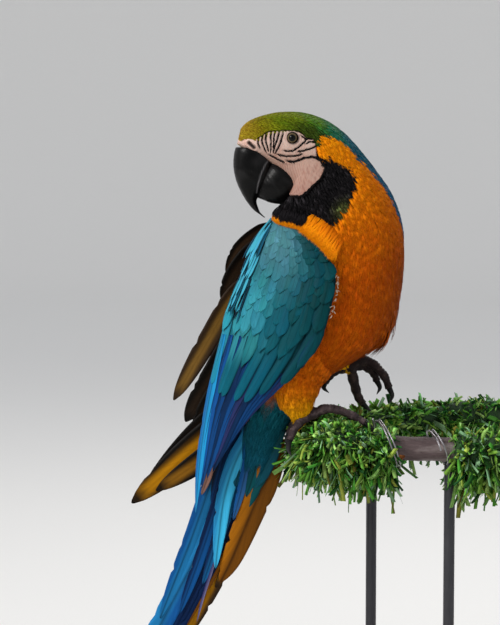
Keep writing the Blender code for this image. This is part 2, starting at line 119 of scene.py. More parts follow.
def ripple(x, y, scale, seed):
    """A soft irregular wave between about -1 and 1, for edges and colours that wander."""
    x, y = x / scale, y / scale
    return (np.sin(1.7 * x + 0.6 * y + seed) + np.sin(-0.9 * x + 1.9 * y + 2.1 * seed)
            + np.sin(2.6 * x - 1.3 * y + 3.7 * seed) * np.sin(0.8 * x + 2.9 * y + 1.3 * seed)) / 2.4


print("a macaw's orange in Blender's values:", paint(250, 146, 7).round(3))

# %% [markdown]
# ## Meshes from arrays
# Blender can add corners and faces one by one, but that is slow for a coat of feathers.
# Handing it whole arrays is hundreds of times faster. Numbers stored on the corners, such
# as a feather's colour, travel with the mesh to its material, and the search tree finds
# the nearest of many points without trying each one.


# %% New objects and what they carry
def new_mesh_object(name, points, blocks, material):
    """An object from points in millimetres and blocks of faces, each block an array of corner numbers."""
    mesh = bpy.data.meshes.new(name)
    mesh.vertices.add(len(points))
    mesh.vertices.foreach_set("co", (points * MM).astype(np.float32).ravel())
    corners = np.concatenate([block.ravel() for block in blocks]).astype(np.int32)
    sizes = np.concatenate([np.full(len(block), block.shape[1]) for block in blocks])
    mesh.loops.add(len(corners))
    mesh.loops.foreach_set("vertex_index", corners)
    mesh.polygons.add(len(sizes))
    mesh.polygons.foreach_set("loop_start", np.concatenate([[0], np.cumsum(sizes)[:-1]]).astype(np.int32))
    mesh.update(calc_edges=True)
    mesh.validate()
    mesh.shade_smooth()
    mesh.materials.append(material)
    obj = bpy.data.objects.new(name, mesh)
    bpy.context.scene.collection.objects.link(obj)
    return obj


def store(obj, name, values):
    """Keeps a number or a colour for each vertex, for the materials to read."""
    values = np.asarray(values, np.float32)
    if values.ndim == 2:
        layer = obj.data.color_attributes.new(name, "FLOAT_COLOR", "POINT")
        four = np.concatenate([values, np.ones((len(values), 1), np.float32)], 1)
        layer.data.foreach_set("color", four.ravel())
    else:
        layer = obj.data.attributes.new(name, "FLOAT", "POINT")
        layer.data.foreach_set("value", values)


def map_for_baking(obj, places):
    """The OFBake map, from one place for each vertex."""
    corners = np.zeros(len(obj.data.loops), np.int32)
    obj.data.loops.foreach_get("vertex_index", corners)
    layer = obj.data.uv_layers.new(name="OFBake")
    layer.data.foreach_set("uv", np.clip(places[corners], 0, 1).astype(np.float32).ravel())


def settle(obj, slot, *nodes):
    """Every piece rides on the model's one body and hides the imported parts it stands for; slot is not used.
    """
    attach(obj, "root")
    if nodes:
        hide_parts(*nodes)
    triangles = sum(len(face.vertices) - 2 for face in obj.data.polygons)
    print(f"{obj.name}: {triangles} triangles")
    return obj


def grid_faces(rows, columns, closed):
    """Quads over a grid of points; closed joins the last column to the first."""
    i, j = np.meshgrid(np.arange(rows - 1), np.arange(columns if closed else columns - 1), indexing="ij")
    k = (j + 1) % columns
    return np.stack([i * columns + j, i * columns + k, (i + 1) * columns + k,
                     (i + 1) * columns + j], -1).reshape(-1, 4)


# %% Search trees
def search_tree(points):
    tree = KDTree(len(points))
    for index, place in enumerate(points.tolist()):
        tree.insert(place, index)
    tree.balance()
    return tree


def nearest_in(tree, points):
    """The number of the tree's point that is nearest to each point."""
    return np.array([tree.find(place)[1] for place in points.tolist()])


print("faces of a 3 by 4 grid:", len(grid_faces(3, 4, False)))

# %% [markdown]
# ## Shader groups
# Feathers of every kind share one structure: a shaft, with barbs slanting away from it.
# Each feather's mesh says how far along it and how far across it a point lies, so one
# group can draw the barbs and shade the vane for the whole bird. A second group gives
# the fine irregular grain that skin, horn, bark and the stand all need.

# %% Adding and linking nodes
class Nodes:
    """Adds nodes to one tree. Each input is a value, or the socket that it is taken from."""

    def __init__(self, tree):
        self.tree = tree

    def feed(self, node, inputs):
        for key, value in inputs.items():
            if isinstance(value, bpy.types.NodeSocket):
                self.tree.links.new(value, node.inputs[key])
            else:
                node.inputs[key].default_value = value

    def add(self, kind, inputs, **settings):
        node = self.tree.nodes.new("ShaderNode" + kind)
        for key, value in settings.items():
            setattr(node, key, value)
        self.feed(node, inputs)
        return node

    def math(self, operation, *values, clamp=False):
        return self.add("Math", dict(enumerate(values)), operation=operation, use_clamp=clamp).outputs[0]

    def plus(self, a, b):
        return self.math("ADD", a, b)

    def minus(self, a, b, clamp=False):
        return self.math("SUBTRACT", a, b, clamp=clamp)

    def times(self, a, b, clamp=False):
        return self.math("MULTIPLY", a, b, clamp=clamp)

    def between(self, share, low, high):
        return self.add("MapRange", {"Value": share, "To Min": low, "To Max": high}).outputs[0]

    def mixed(self, share, first, second, blend="MIX"):
        inputs = {0: share, 6: first, 7: second}
        return self.add("Mix", inputs, data_type="RGBA", blend_type=blend).outputs[2]

    def relief(self, height, strength, depth):
        """A normal from a height whose depth is given in millimetres."""
        return self.add("Bump", {"Height": height, "Strength": strength, "Distance": depth * MM}).outputs[0]

    def stored(self, label, way="Fac"):
        """A number or a colour that the mesh carries."""
        return self.add("Attribute", {}, attribute_name=label).outputs[way]


def new_group(name, inputs, outputs):
    """A node group with named inputs and outputs, the means to add to it, and its two ends."""
    tree = bpy.data.node_groups.new(name, "ShaderNodeTree")
    for label, kind, value in inputs:
        socket = tree.interface.new_socket(label, in_out="INPUT", socket_type="NodeSocket" + kind)
        socket.default_value = value
    for label, kind in outputs:
        tree.interface.new_socket(label, in_out="OUTPUT", socket_type="NodeSocket" + kind)
    entry, leave = tree.nodes.new("NodeGroupInput"), tree.nodes.new("NodeGroupOutput")
    return tree, Nodes(tree), entry.outputs, leave


# %% [markdown]
# ## The vane group
# Barbs lie side by side and slant towards the tip, so the group stretches a noise along
# that slant. The shaft is a dark raised line, the root has painted shade where the feather
# above covers it, and each feather is a little lighter or darker than its neighbours by its
# own seed.

# %% Barbs, shaft and shade of a feather
VANE_GROUP, vane, given, result = new_group(
    "FeatherVane",
    [("Plumage", "Color", (0.5, 0.5, 0.5, 1)), ("Along", "Float", 0.5), ("Across", "Float", 0.0),
     ("Seed", "Float", 0.0), ("Barbs", "Float", 30.0), ("Slant", "Float", 0.5),
     ("Root shade", "Float", 0.5), ("Edge light", "Float", 0.2), ("Spread", "Float", 0.2),
     ("Contrast", "Float", 0.5)],
    [("Colour", "Color"), ("Height", "Float"), ("Wear", "Float")])
side = vane.math("ABSOLUTE", given["Across"])
run = vane.minus(given["Along"], vane.times(side, given["Slant"]))
place = vane.add("CombineXYZ", {"X": vane.times(run, given["Barbs"]), "Y": vane.times(given["Across"], 1.6),
                                "Z": vane.times(given["Seed"], 91.0)}).outputs[0]
strands = vane.add("TexNoise", {"Vector": place, "Scale": 1.0, "Detail": 2.0, "Roughness": 0.7}).outputs[0]
broad = vane.add("TexNoise", {"Vector": place, "Scale": 0.16, "Detail": 2.0}).outputs[0]
shaft = vane.minus(1.0, vane.times(side, 9.0), clamp=True)
height = vane.plus(strands, vane.times(shaft, 0.6))
# Painted shade at the root, where the feather above covers it.
root = vane.times(vane.minus(1.0, given["Along"], clamp=True), given["Root shade"])
# Paler edges: the feather's own fringe, and on the bib a painted sheen.
light = vane.times(vane.math("POWER", side, 2.5), given["Edge light"])
swing = vane.plus(vane.times(vane.minus(strands, 0.5), 0.9), vane.minus(broad, 0.5))
own = vane.times(vane.minus(given["Seed"], 0.5), given["Spread"])
lively = vane.plus(vane.plus(1.0, vane.times(swing, given["Contrast"])), own)
tone = vane.times(vane.minus(vane.plus(1.0, light), root), lively)
tone = vane.minus(tone, vane.times(shaft, 0.18))
hued = vane.add("HueSaturation", {"Hue": vane.plus(0.5, vane.times(own, 0.08)), "Saturation": 1.0,
                                  "Value": tone, "Fac": 1.0, "Color": given["Plumage"]}).outputs[0]
vane.feed(result, {"Colour": hued, "Height": height, "Wear": broad})

# %% [markdown]
# ## The grain group
# Skin, horn, bark, wire and the stand differ in colour and size of grain, but all have a
# fine roughness, creases and broad lighter and darker patches. One group makes these from
# two noises and a cell pattern, and each material gives it its own sizes.

# %% Fine and broad irregularity of a hard or leathery surface
GRAIN_GROUP, grain, given, result = new_group(
    "SurfaceGrain",
    [("Fine size", "Float", 400.0), ("Broad size", "Float", 40.0), ("Stretch", "Vector", (1.0, 1.0, 1.0)),
     ("Light", "Color", (0.5, 0.5, 0.5, 1)), ("Dark", "Color", (0.1, 0.1, 0.1, 1)),
     ("Base", "Color", (0.3, 0.3, 0.3, 1)), ("Contrast", "Float", 0.5)],
    [("Colour", "Color"), ("Height", "Float"), ("Patch", "Float")])
spot = grain.add("TexCoord", {}).outputs["Object"]
spot = grain.add("VectorMath", {0: spot, 1: given["Stretch"]}, operation="MULTIPLY").outputs[0]
fine = grain.add("TexNoise", {"Vector": spot, "Scale": given["Fine size"], "Detail": 4.0,
                              "Roughness": 0.6}).outputs[0]
patch = grain.add("TexNoise", {"Vector": spot, "Scale": given["Broad size"], "Detail": 3.0,
                               "Roughness": 0.55}).outputs[0]
cells = grain.add("TexVoronoi", {"Vector": spot, "Scale": given["Fine size"]}, feature="DISTANCE_TO_EDGE")
raised = grain.times(grain.minus(patch, 0.52), 6.0, clamp=True)
sunk = grain.times(grain.minus(0.46, patch), 6.0, clamp=True)
shade = grain.mixed(grain.times(raised, given["Contrast"]), given["Base"], given["Light"])
shade = grain.mixed(grain.times(sunk, given["Contrast"]), shade, given["Dark"])
speck = grain.plus(1.0, grain.times(grain.minus(fine, 0.5), given["Contrast"]))
shade = grain.add("HueSaturation", {"Value": speck, "Fac": 1.0, "Color": shade}).outputs[0]
creased = grain.times(grain.math("MINIMUM", cells.outputs["Distance"], 0.12), 4.0)
grain.feed(result, {"Colour": shade, "Height": grain.plus(fine, creased), "Patch": patch})
print("groups:", VANE_GROUP.name, GRAIN_GROUP.name)

# %% [markdown]
# ## Materials that read the groups
# A material keeps its own shader and places a group in front of it. What is the same all
# over a surface, such as its gloss, is set on the shader itself; what changes from place
# to place comes from the group.


# %% Plumage and grained finishes
def colour4(colour):
    return (*[float(c) for c in colour], 1.0)


def new_material(name, **constants):
    """A material with constants set on its shader, the means to add nodes, and the shader."""
    material = bpy.data.materials.new(name)
    material.use_nodes = True
    shader = material.node_tree.nodes["Principled BSDF"]
    for key, value in constants.items():
        shader.inputs[key.replace("_", " ")].default_value = value
    return material, Nodes(material.node_tree), shader


def feather_material(name, barbs, slant, root, edge, spread, rough, relief, contrast, shine=0.07):
    """Plumage whose colour comes from the mesh and whose barbs come from the vane group."""
    material, nodes, shader = new_material(name, Specular_IOR_Level=shine)
    vane = nodes.add("Group", {
        "Plumage": nodes.stored("plumage", "Color"), "Along": nodes.stored("along"),
        "Across": nodes.stored("across"), "Seed": nodes.stored("seed"), "Barbs": barbs, "Slant": slant,
        "Root shade": root, "Edge light": edge, "Spread": spread, "Contrast": contrast},
        node_tree=VANE_GROUP).outputs
    nodes.feed(shader, {"Base Color": vane["Colour"],
                        "Roughness": nodes.between(vane["Wear"], rough - 0.1, rough + 0.12),
                        "Normal": nodes.relief(vane["Height"], 0.7, relief)})
    return material


def place_grain(nodes, base, light, dark, fine, broad, contrast, stretch=(1, 1, 1)):
    return nodes.add("Group", {
        "Fine size": fine, "Broad size": broad, "Stretch": stretch, "Light": colour4(light),
        "Dark": colour4(dark), "Base": colour4(base), "Contrast": contrast}, node_tree=GRAIN_GROUP).outputs


def grained_material(name, base, light, dark, fine, broad, rough, relief, contrast=0.5, stretch=(1, 1, 1),
                     **constants):
    """A hard or leathery finish in three painter's colours."""
    material, nodes, shader = new_material(name, **constants)
    grain = place_grain(nodes, paint(*base), paint(*light), paint(*dark), fine, broad, contrast, stretch)
    nodes.feed(shader, {"Base Color": grain["Colour"],
                        "Roughness": nodes.between(grain["Patch"], rough - 0.12, rough + 0.12),
                        "Normal": nodes.relief(grain["Height"], 0.6, relief)})
    return material


# %% [markdown]
# ## The body as a surface
# The head, neck and trunk are one smooth form through nineteen oval sections, from the
# forehead to the root of the tail. Each place on it has two numbers: a, the turn round
# the section (0 on the crown, the nape and the breast, 0.25 on the far side, 0.5 on the
# throat and the back, 0.75 on the near side), and t, the way from bill to tail. Skin,
# feathers and markings are all placed by these two numbers.

# %% Sections of the body
# Nape or breast side x, z; throat or back side x, z; half width; centre y.
BODY_ROWS = [
    (-120, 762, -123, 747, 8, 0), (-111, 770, -110, 738, 15, 0),
    (-95, 776, -95, 731, 21, 0), (-77, 779, -79, 720, 25.5, 0),
    (-56, 778, -68, 704, 29, 0), (-35, 771, -77, 688, 33, 0),
    (-15, 757, -87, 677, 37, 0), (4, 736, -88, 663, 42, 0),
    (19, 716, -83, 648, 47, 0), (32, 696, -78, 635, 51, 0),
    (41, 671, -76, 621, 54, 0), (44, 645, -78, 605, 56, 0),
    (43, 613, -82, 587, 56, 0), (37, 578, -89, 563, 54, 0),
    (24, 551, -97, 535, 50, 0), (-1, 533, -106, 508, 43, 1),
    (-33, 512, -113, 489, 34, 2), (-59, 485, -119, 473, 26, 3),
    (-81, 442, -119, 460, 17, 3),
]
LAST_RING = len(BODY_ROWS) - 1
HEAD_ENDS = 0.43


# %% Oval sections made into a grid
def section_grid(rows, shares, turns, power):
    """Points of the oval sections: one row for each share, one column for each turn."""
    row = curve_through(rows, shares)
    outer = np.stack([row[:, 0], 0 * row[:, 0], row[:, 1]], -1)
    inner = np.stack([row[:, 2], 0 * row[:, 0], row[:, 3]], -1)
    centre = (outer + inner) / 2
    centre[:, 1] += row[:, 5]
    c, s = np.cos(2 * np.pi * turns), np.sin(2 * np.pi * turns)
    power = np.broadcast_to(power, shares.shape)[:, None]
    c = np.sign(c) * np.abs(c) ** (2 / power)
    s = np.sign(s) * np.abs(s) ** (2 / power)
    grid = centre[:, None] + ((outer - inner) / 2)[:, None] * c[..., None]
    grid[..., 1] += row[:, 4][:, None] * s
    return grid

# %% A surface that knows its places
class Form:
    """A surface known by a grid of points. It tells where a place (a, t) is and which way is out."""

    def __init__(self, grid, closed=True, outward=None):
        self.grid, self.closed = grid, closed
        self.rows, self.columns = grid.shape[:2]
        ring = np.concatenate([grid[:, -1:], grid, grid[:, :1]], 1) if closed else grid
        self.by_t = np.gradient(grid, axis=0) * (self.rows - 1)
        if closed:
            self.by_a = np.gradient(ring, axis=1)[:, 1:-1] * self.columns
        else:
            self.by_a = np.gradient(grid, axis=1) * (self.columns - 1)
        normal = unit(np.cross(self.by_t, self.by_a))
        centre = grid.mean(1, keepdims=True) if outward is None else grid - np.array(outward)
        self.normal = normal if (normal * (grid - centre)).sum() > 0 else -normal

    def read(self, table, a, t):
        """A table's values at places (a, t), blended between the four nearest points of the grid."""
        x = np.clip(t, 0, 1) * (self.rows - 1)
        i = np.minimum(x.astype(int), self.rows - 2)
        y = np.mod(a, 1.0) * self.columns if self.closed else np.clip(a, 0, 1) * (self.columns - 1)
        j = np.minimum(y.astype(int), self.columns - (1 if self.closed else 2))
        k = (j + 1) % self.columns
        f, g = (x - i)[..., None], (y - j)[..., None]
        low = table[i, j] * (1 - g) + table[i, k] * g
        high = table[i + 1, j] * (1 - g) + table[i + 1, k] * g
        return low * (1 - f) + high * f

    def at(self, a, t):
        """Point and outward direction, carried on straight past the ends."""
        point = self.read(self.grid, a, t)
        over = t - np.clip(t, 0, 1)
        point = point + self.read(self.by_t, a, t) * over[..., None]
        if not self.closed:
            beside = a - np.clip(a, 0, 1)
            point = point + self.read(self.by_a, a, t) * beside[..., None]
        return point, unit(self.read(self.normal, a, t))

    def steps(self, a, t, moves):
        """The changes of a and t that make small moves over the surface from places (a, t)."""
        pa, pt = self.read(self.by_a, a, t)[:, None], self.read(self.by_t, a, t)[:, None]
        e, f, g = dot(pa, pa)[..., 0], dot(pa, pt)[..., 0], dot(pt, pt)[..., 0]
        u, v = dot(moves, pa)[..., 0], dot(moves, pt)[..., 0]
        free = np.maximum(e * g - f * f, 1e-6)
        return (g * u - f * v) / free, (e * v - f * u) / free


shares, turns = np.linspace(0, 1, 721), np.arange(720) / 720
BODY = Form(section_grid(BODY_ROWS, shares, turns, 2.3 - 0.2 * ease(shares, 0.30, 0.40)))
print("body surface, mm:", BODY.grid.min((0, 1)).round(), BODY.grid.max((0, 1)).round())


def on_bake_map(a, t):
    """Where the place (a, t) of a form lies on the bake map, a little inside its edges."""
    return np.stack([0.02 + 0.96 * a, 0.02 + 0.96 * t], -1)


# %% [markdown]
# ## Markings
# A blue-and-yellow macaw has an olive forehead that turns green on the crown and blue
# down the nape, a bare white face crossed by rows of tiny black feathers, a black bib,
# and orange-yellow under parts. The neck is turned right round here, so the blue nape
# stripe winds over the far side to reach the back. Outlines on the head are drawn from
# the side, as x and z, and hold for both sides.

# %% Outlines on the head
FACE = [(-126, 751), (-116, 753), (-104, 752), (-98, 756), (-91, 760), (-79, 761), (-66, 761), (-60, 759),
        (-55, 755), (-48, 753), (-46, 750), (-45, 742), (-45, 736), (-42, 732), (-36.5, 726), (-40, 716),
        (-48, 708), (-54, 702), (-60, 697.5), (-66, 697.5), (-78, 700), (-90, 700), (-98, 705), (-120, 728),
        (-128, 742)]
BIB = [(-98, 684), (-99, 706), (-90, 700.5), (-78, 700.5), (-66, 697.5), (-60, 697.5), (-54, 702), (-49, 708),
       (-43, 716), (-41, 726), (-46, 732), (-46, 740), (-38, 742), (-29, 738), (-17.5, 732), (-10.5, 722.5),
       (-9.5, 711), (-14, 701.5), (-18, 690.5), (-23, 682), (-32, 675), (-40, 676.5), (-47, 680),
       (-56.6, 676), (-73, 675), (-94, 674)]
# Rows of tiny black feathers: half thickness, then the row from front or top to back or bottom.
FACE_ROWS = [
    (0.45, [(-101.6, 753), (-102.2, 749), (-100.8, 744.5)]),
    (0.5, [(-97.3, 757.3), (-98.2, 751), (-96.9, 745.5), (-94.5, 740)]),
    (0.5, [(-93.4, 759.5), (-94.6, 753.3), (-93.8, 747.6), (-91.9, 741)]),
    (0.55, [(-89, 760.2), (-89.6, 754.8), (-89.2, 748.4), (-89.6, 740.4)]),
    (0.5, [(-85.2, 760.2), (-86.4, 755), (-86.6, 750.5), (-87.4, 745)]),
    (0.6, [(-81, 760.2), (-83, 753.3), (-85.2, 747.4), (-87.0, 740)]),
    (0.55, [(-77.4, 759.2), (-79.4, 751.5), (-81.6, 745.5), (-85.2, 739)]),
    (0.7, [(-77.3, 741.6), (-69.4, 741.2), (-64, 743.7), (-59.3, 747.6), (-54.6, 752.5)]),
    (0.6, [(-60.5, 756.5), (-55.5, 753.5), (-50, 753)]),
    (0.6, [(-56, 748), (-51, 750.6), (-47.4, 750)]),
    (0.7, [(-64, 740.5), (-57.8, 741.6), (-52.2, 743.2), (-46, 745.8)]),
    (0.7, [(-83.6, 737.7), (-75, 736.1), (-65.5, 736.5), (-60.1, 737.7)]),
    (0.7, [(-91.7, 737.1), (-83.6, 733), (-76.5, 729.8)]),
    (1.2, [(-74.2, 731.4), (-67.9, 730.6), (-62.4, 732.2), (-56.1, 734.5), (-48.3, 735.5), (-42.1, 733.6),
           (-36.5, 731.2)]),
]
NOSTRIL = [(-111, 748.5), (-106, 744)]
EYE_CENTRE = np.array((-68.0, 22.0, 754.0))
EYE_RADIUS = 7.0
NEAR_EYE = 9.0


def inside(outline, x, z):
    """Which points lie within a closed outline."""
    found = np.zeros(np.shape(x), bool)
    for (x0, z0), (x1, z1) in zip(outline, outline[1:] + outline[:1]):
        if z0 != z1:
            found ^= ((z0 > z) != (z1 > z)) & (x < (x1 - x0) * (z - z0) / (z1 - z0) + x0)
    return found


def distance_to(path, x, z):
    """How far each point lies from an open path."""
    least = np.full(np.shape(x), 1e9)
    for (x0, z0), (x1, z1) in zip(path, path[1:]):
        dx, dz = x1 - x0, z1 - z0
        f = np.clip(((x - x0) * dx + (z - z0) * dz) / (dx * dx + dz * dz), 0, 1)
        least = np.minimum(least, np.hypot(x - x0 - f * dx, z - z0 - f * dz))
    return least


def from_eye(x, z):
    return np.hypot(x - EYE_CENTRE[0], z - EYE_CENTRE[2])


print("markings:", len(FACE_ROWS), "rows of face feathers")

# %% [markdown]
# ## Colours by place
# Skin and feathers ask one function for their colour, so they always agree. It blends paints
# along the body's rings, with painted shade down the breast, lays the blue stripe round the
# back, and then the bib with the olive feathers at its rim. Edges wander by a soft ripple,
# as real ones do.

# %% Stripe, front, crown and bib
STRIPE_RINGS = [0, 4, 5, 6, 7, 8, 9, 10, 11, 12, 13, 18]
STRIPE_CENTRE = np.array([0, 0, 0, 0, 0, 8, 22, 50, 85, 120, 150, 150]) / 360
STRIPE_HALF = np.array([53, 53, 42, 31, 25, 27, 38, 55, 60, 65, 65, 65]) / 360
CROWN_RINGS = [0, 1.5, 3.0, 4.2, 5.0, 5.8, 7.5, 18]
CROWN_PAINTS = paints((160, 128, 30), (132, 122, 12), (112, 130, 12), (80, 124, 18), (30, 112, 62),
                      (8, 94, 110), (2, 74, 104), (6, 76, 120))
# The orange darkens from the neck to the belly: partly its own colour, partly painted shade.
FRONT_RINGS = [4, 6, 9, 11, 15.0, 15.8, 18]
FRONT_PAINTS = paints((255, 156, 8), (250, 146, 6), (220, 110, 4), (190, 84, 2), (190, 86, 2),
                      (14, 92, 104), (14, 84, 104))
BLACK = paint(20, 18, 20)


def on_face(x, y, z, t):
    return (t < HEAD_ENDS) & inside(FACE, x, z)


def plumage(a, t, x, y, z):
    """The colour of the coat, and of the skin beneath it, at places on the body."""
    ring = t * LAST_RING
    wander = ripple(x + y, z - 0.5 * y, 9.0, 1.0)
    off_stripe = np.abs(np.mod(a - np.interp(ring, STRIPE_RINGS, STRIPE_CENTRE) + 0.5, 1.0) - 0.5)
    stripe = off_stripe < np.interp(ring, STRIPE_RINGS, STRIPE_HALF) + 0.006 * wander
    stripe |= (x < -49) & (t < 0.3) & (z > 742)
    colour = ramp(ring, FRONT_RINGS, FRONT_PAINTS)
    # Painted shade down the front of the breast and belly.
    painted_front_shade = ease(np.abs(np.mod(a + 0.5, 1.0) - 0.5), 0.22, 0.0) * ease(ring, 6.5, 12)
    colour = colour * (1 - 0.38 * painted_front_shade[..., None])
    crown = ramp(ring + 0.5 * wander, CROWN_RINGS, CROWN_PAINTS)
    low_edge = ease(off_stripe, 0.09, 0.145) * ease(ring, 2.0, 4.0) * ease(ring, 6.5, 5.0)
    crown = mix(crown, paint(44, 58, 12), 0.85 * low_edge[..., None])
    colour = np.where(stripe[..., None], crown, colour)
    bib = inside(BIB, x + 0.8 * wander, z + 0.8 * wander) & (t < 0.5)
    bib |= (x < -62) & (t < 0.28) & (z > 675) & (z < 737)
    bib |= on_face(x, y, z, t) & (z < 737)
    olive_rim = 0.95 * np.exp(-((x + 19) ** 2 + (z - 687) ** 2) / 70.0)
    bib_colour = mix(BLACK, paint(98, 102, 48), olive_rim[..., None])
    return np.where(bib[..., None], bib_colour, colour), stripe, bib


print("forehead, linear:", CROWN_PAINTS[0].round(3), "breast, linear:", FRONT_PAINTS[2].round(3))

# %% [markdown]
# ## The skin
# Under the feathers a bird is lean. The skin is one closed mesh that lies inside the
# packed head, neck, trunk and thighs by the depth of the coat there, and it reaches the
# surface only on the bare face. The sections are packed close on the head, because the
# lids, the folds between the rows of face feathers and the nostril are real shape.

# %% Thighs as tubes
THIGHS = {
    "right": [(-50, -16, 546, 36), (-62, -25, 519, 28), (-64, -29, 498, 22), (-62, -30, 487, 16.5),
              (-61, -30, 477, 10), (-62, -30, 469, 5)],
    "left": [(-22, 26, 548, 28), (-21, 30, 536, 22), (-18, 31, 526, 15), (-13, 31, 519, 8)],
}


def tube_grid(points, radii, columns):
    """Rings of points round a path, with the path's own radius at each point."""
    along = unit(np.gradient(points, axis=0))
    up = np.array((0.13, 1.0, 0.21))
    rings = []
    for point, forward, radius in zip(points, along, radii):
        up = unit(up - forward * dot(up, forward))
        side = np.cross(forward, up)
        a = 2 * np.pi * np.arange(columns)[:, None] / columns
        rings.append(point + radius * (up * np.cos(a) + side * np.sin(a)))
    return np.array(rings)


def thigh_form(side, shrink=0.0, rows=61, columns=96):
    """A thigh as a form, drawn in by a depth that is least at its foot end."""
    path = curve_through(THIGHS[side], np.linspace(0, 1, rows))
    radii = np.maximum(path[:, 3] - shrink * np.linspace(1, 0.35, rows), 2.0)
    return Form(tube_grid(path[:, :3], radii, columns))


print("thigh lengths, mm:", {side: round(float(np.linalg.norm(np.subtract(path[0], path[-1])[:3])))
                             for side, path in THIGHS.items()})

# %% [markdown]
# ## Depth and relief
# Feathers on the forehead stand hardly a millimetre off the skin, and on the breast five.
# On the bare face the skin itself is the surface, so it carries the lids, the nostril and
# the folds as real shape: each is a smooth bump or dip by its distance from a line.


# %% How deep the skin lies and how the face rises
def coat_depth(x, y, z, t):
    """How far the skin lies beneath the outside of the coat."""
    depth = np.interp(t * LAST_RING, [0, 2, 4, 6, 10, 16, 18], [0.9, 1.4, 1.8, 3.2, 5.0, 5.0, 3.0])
    return np.where(on_face(x, y, z, t), 0.4, depth)


def cheek_folds(x, z):
    """A wave between -1 and 1 that runs across the fine folds of the cheek."""
    return np.sin((x + 0.28 * (z - 700)) * 2.6 + 1.3 * ripple(x, z, 5.0, 2.0))


def mound(distance, middle, width):
    return np.exp(-((distance - middle) / width) ** 2)


def face_relief(x, y, z):
    """How far the bare skin of the face rises, in millimetres: lids, folds, nostril and cheek."""
    eye = from_eye(x, z)
    rise = 1.5 * mound(eye, 6.1, 0.75) + 0.8 * mound(eye, 8.0, 0.8) - 0.35 * mound(eye, 7.1, 0.4)
    rise = np.where(eye < 5.3, -3.5, np.where(eye < 5.7, rise * 0.5, rise))
    for half, path in FACE_ROWS:
        away = distance_to(path, x, z)
        rise = rise - 0.55 * mound(away, 0.0, half + 0.2) + 0.45 * mound(away, half + 1.2, 0.7)
    away = distance_to(NOSTRIL, x, z)
    rise += 0.7 * mound(away, 3.0, 1.0) - 3.2 * mound(away, 0.0, 1.5)
    cheek = ease(z, 731, 724) * ease(x, -84, -76)
    rise += cheek * 0.24 * cheek_folds(x, z) * (0.6 + 0.4 * ripple(x, z, 3.0, 4.0))
    rise += 0.10 * ripple(x, z, 0.9, 3.0)
    return np.where(np.abs(y) > 3.0, rise, 0.0)


middle_of_lid = EYE_CENTRE + (6.1, 0.0, 0.0)
print("the lid rises, mm:", face_relief(*middle_of_lid[:, None]).round(2))

# %% [markdown]
# ## One closed skin
# A form gives the points, a fan closes each end, and a Boolean union joins the thighs on.
# A union keeps one clean surface; a thigh that was only pushed into the trunk would leave
# hidden faces inside. The material multiplies the grain of bare skin by the markings.


# %% Closed meshes
def fan(start, columns, centre):
    """Triangles from the ring of points that begins at start to a point in its middle."""
    j = np.arange(columns)
    return np.stack([start + j, start + (j + 1) % columns, np.full(columns, centre)], -1)


def closed_mesh(name, grid, material):
    """A closed skin over rings of points, with a fan at each end and every face turned outwards."""
    rows, columns = grid.shape[:2]
    size = rows * columns
    points = np.vstack([grid.reshape(-1, 3), grid[0].mean(0), grid[-1].mean(0)])
    ends = [fan(0, columns, size), fan(size - columns, columns, size + 1)[:, ::-1]]
    obj = new_mesh_object(name, points, [grid_faces(rows, columns, True)[:, ::-1], *ends], material)
    shape = bmesh.new()
    shape.from_mesh(obj.data)
    bmesh.ops.recalc_face_normals(shape, faces=shape.faces)
    shape.to_mesh(obj.data)
    shape.free()
    return obj


def apply_modifiers(obj):
    bpy.context.view_layer.update()
    mesh = bpy.data.meshes.new_from_object(obj.evaluated_get(bpy.context.evaluated_depsgraph_get()))
    obj.modifiers.clear()
    obj.data = mesh
    return obj


# %% Bare skin and the union with the thighs
SKIN_BASE, SKIN_LIGHT, SKIN_DARK = (0.97, 0.82, 0.76), (1.0, 0.93, 0.88), (0.80, 0.52, 0.44)


def skin_material():
    """Pinkish white with fine creases, and the coat's markings under the feathers."""
    material, nodes, shader = new_material("bare_skin", Specular_IOR_Level=0.15, Subsurface_Weight=0.08,
                                           Subsurface_Radius=(0.004, 0.0015, 0.001))
    grain = place_grain(nodes, SKIN_BASE, SKIN_LIGHT, SKIN_DARK, 900.0, 130.0, 0.55, (1.0, 1.0, 0.35))
    marked = nodes.mixed(1.0, nodes.stored("plumage", "Color"), grain["Colour"], "MULTIPLY")
    nodes.feed(shader, {"Base Color": marked, "Roughness": nodes.between(grain["Patch"], 0.42, 0.62),
                        "Normal": nodes.relief(grain["Height"], 0.5, 0.25)})
    return material


SKIN_SIDES = 240
ring_shares = np.concatenate([np.linspace(0, 0.42, 280), np.linspace(0.42, 1.0, 71)[1:]])
a, t = np.meshgrid(np.arange(SKIN_SIDES) / SKIN_SIDES, ring_shares)
a, t = a.ravel(), t.ravel()
point, out = BODY.at(a, t)
x, y, z = point.T
bare = on_face(x, y, z, t) | (from_eye(x, z) < NEAR_EYE)
lift = np.where(bare, face_relief(x, y, z), 0.0) - coat_depth(x, y, z, t)
point = (point + out * lift[:, None]).reshape(len(ring_shares), SKIN_SIDES, 3)
SKIN = closed_mesh("skin", point, skin_material())
for side in THIGHS:
    thigh = closed_mesh("thigh_core_" + side, thigh_form(side, 5.0, 31, 64).grid, SKIN.data.materials[0])
    union = SKIN.modifiers.new("union", "BOOLEAN")
    union.operation, union.object, union.solver = "UNION", thigh, "EXACT"
    apply_modifiers(SKIN)
    bpy.data.objects.remove(thigh)
SKIN.data.shade_smooth()

# %% [markdown]
# ## Markings of the skin
# Every corner of the skin looks up its nearest place on the body's form, and takes from it
# the coat's colour and its spot on the bake map. The bare face is whitish instead, darker
# towards the throat, with painted shade in the folds, a dark rim round the eye and a painted
# shadow in the nostril.


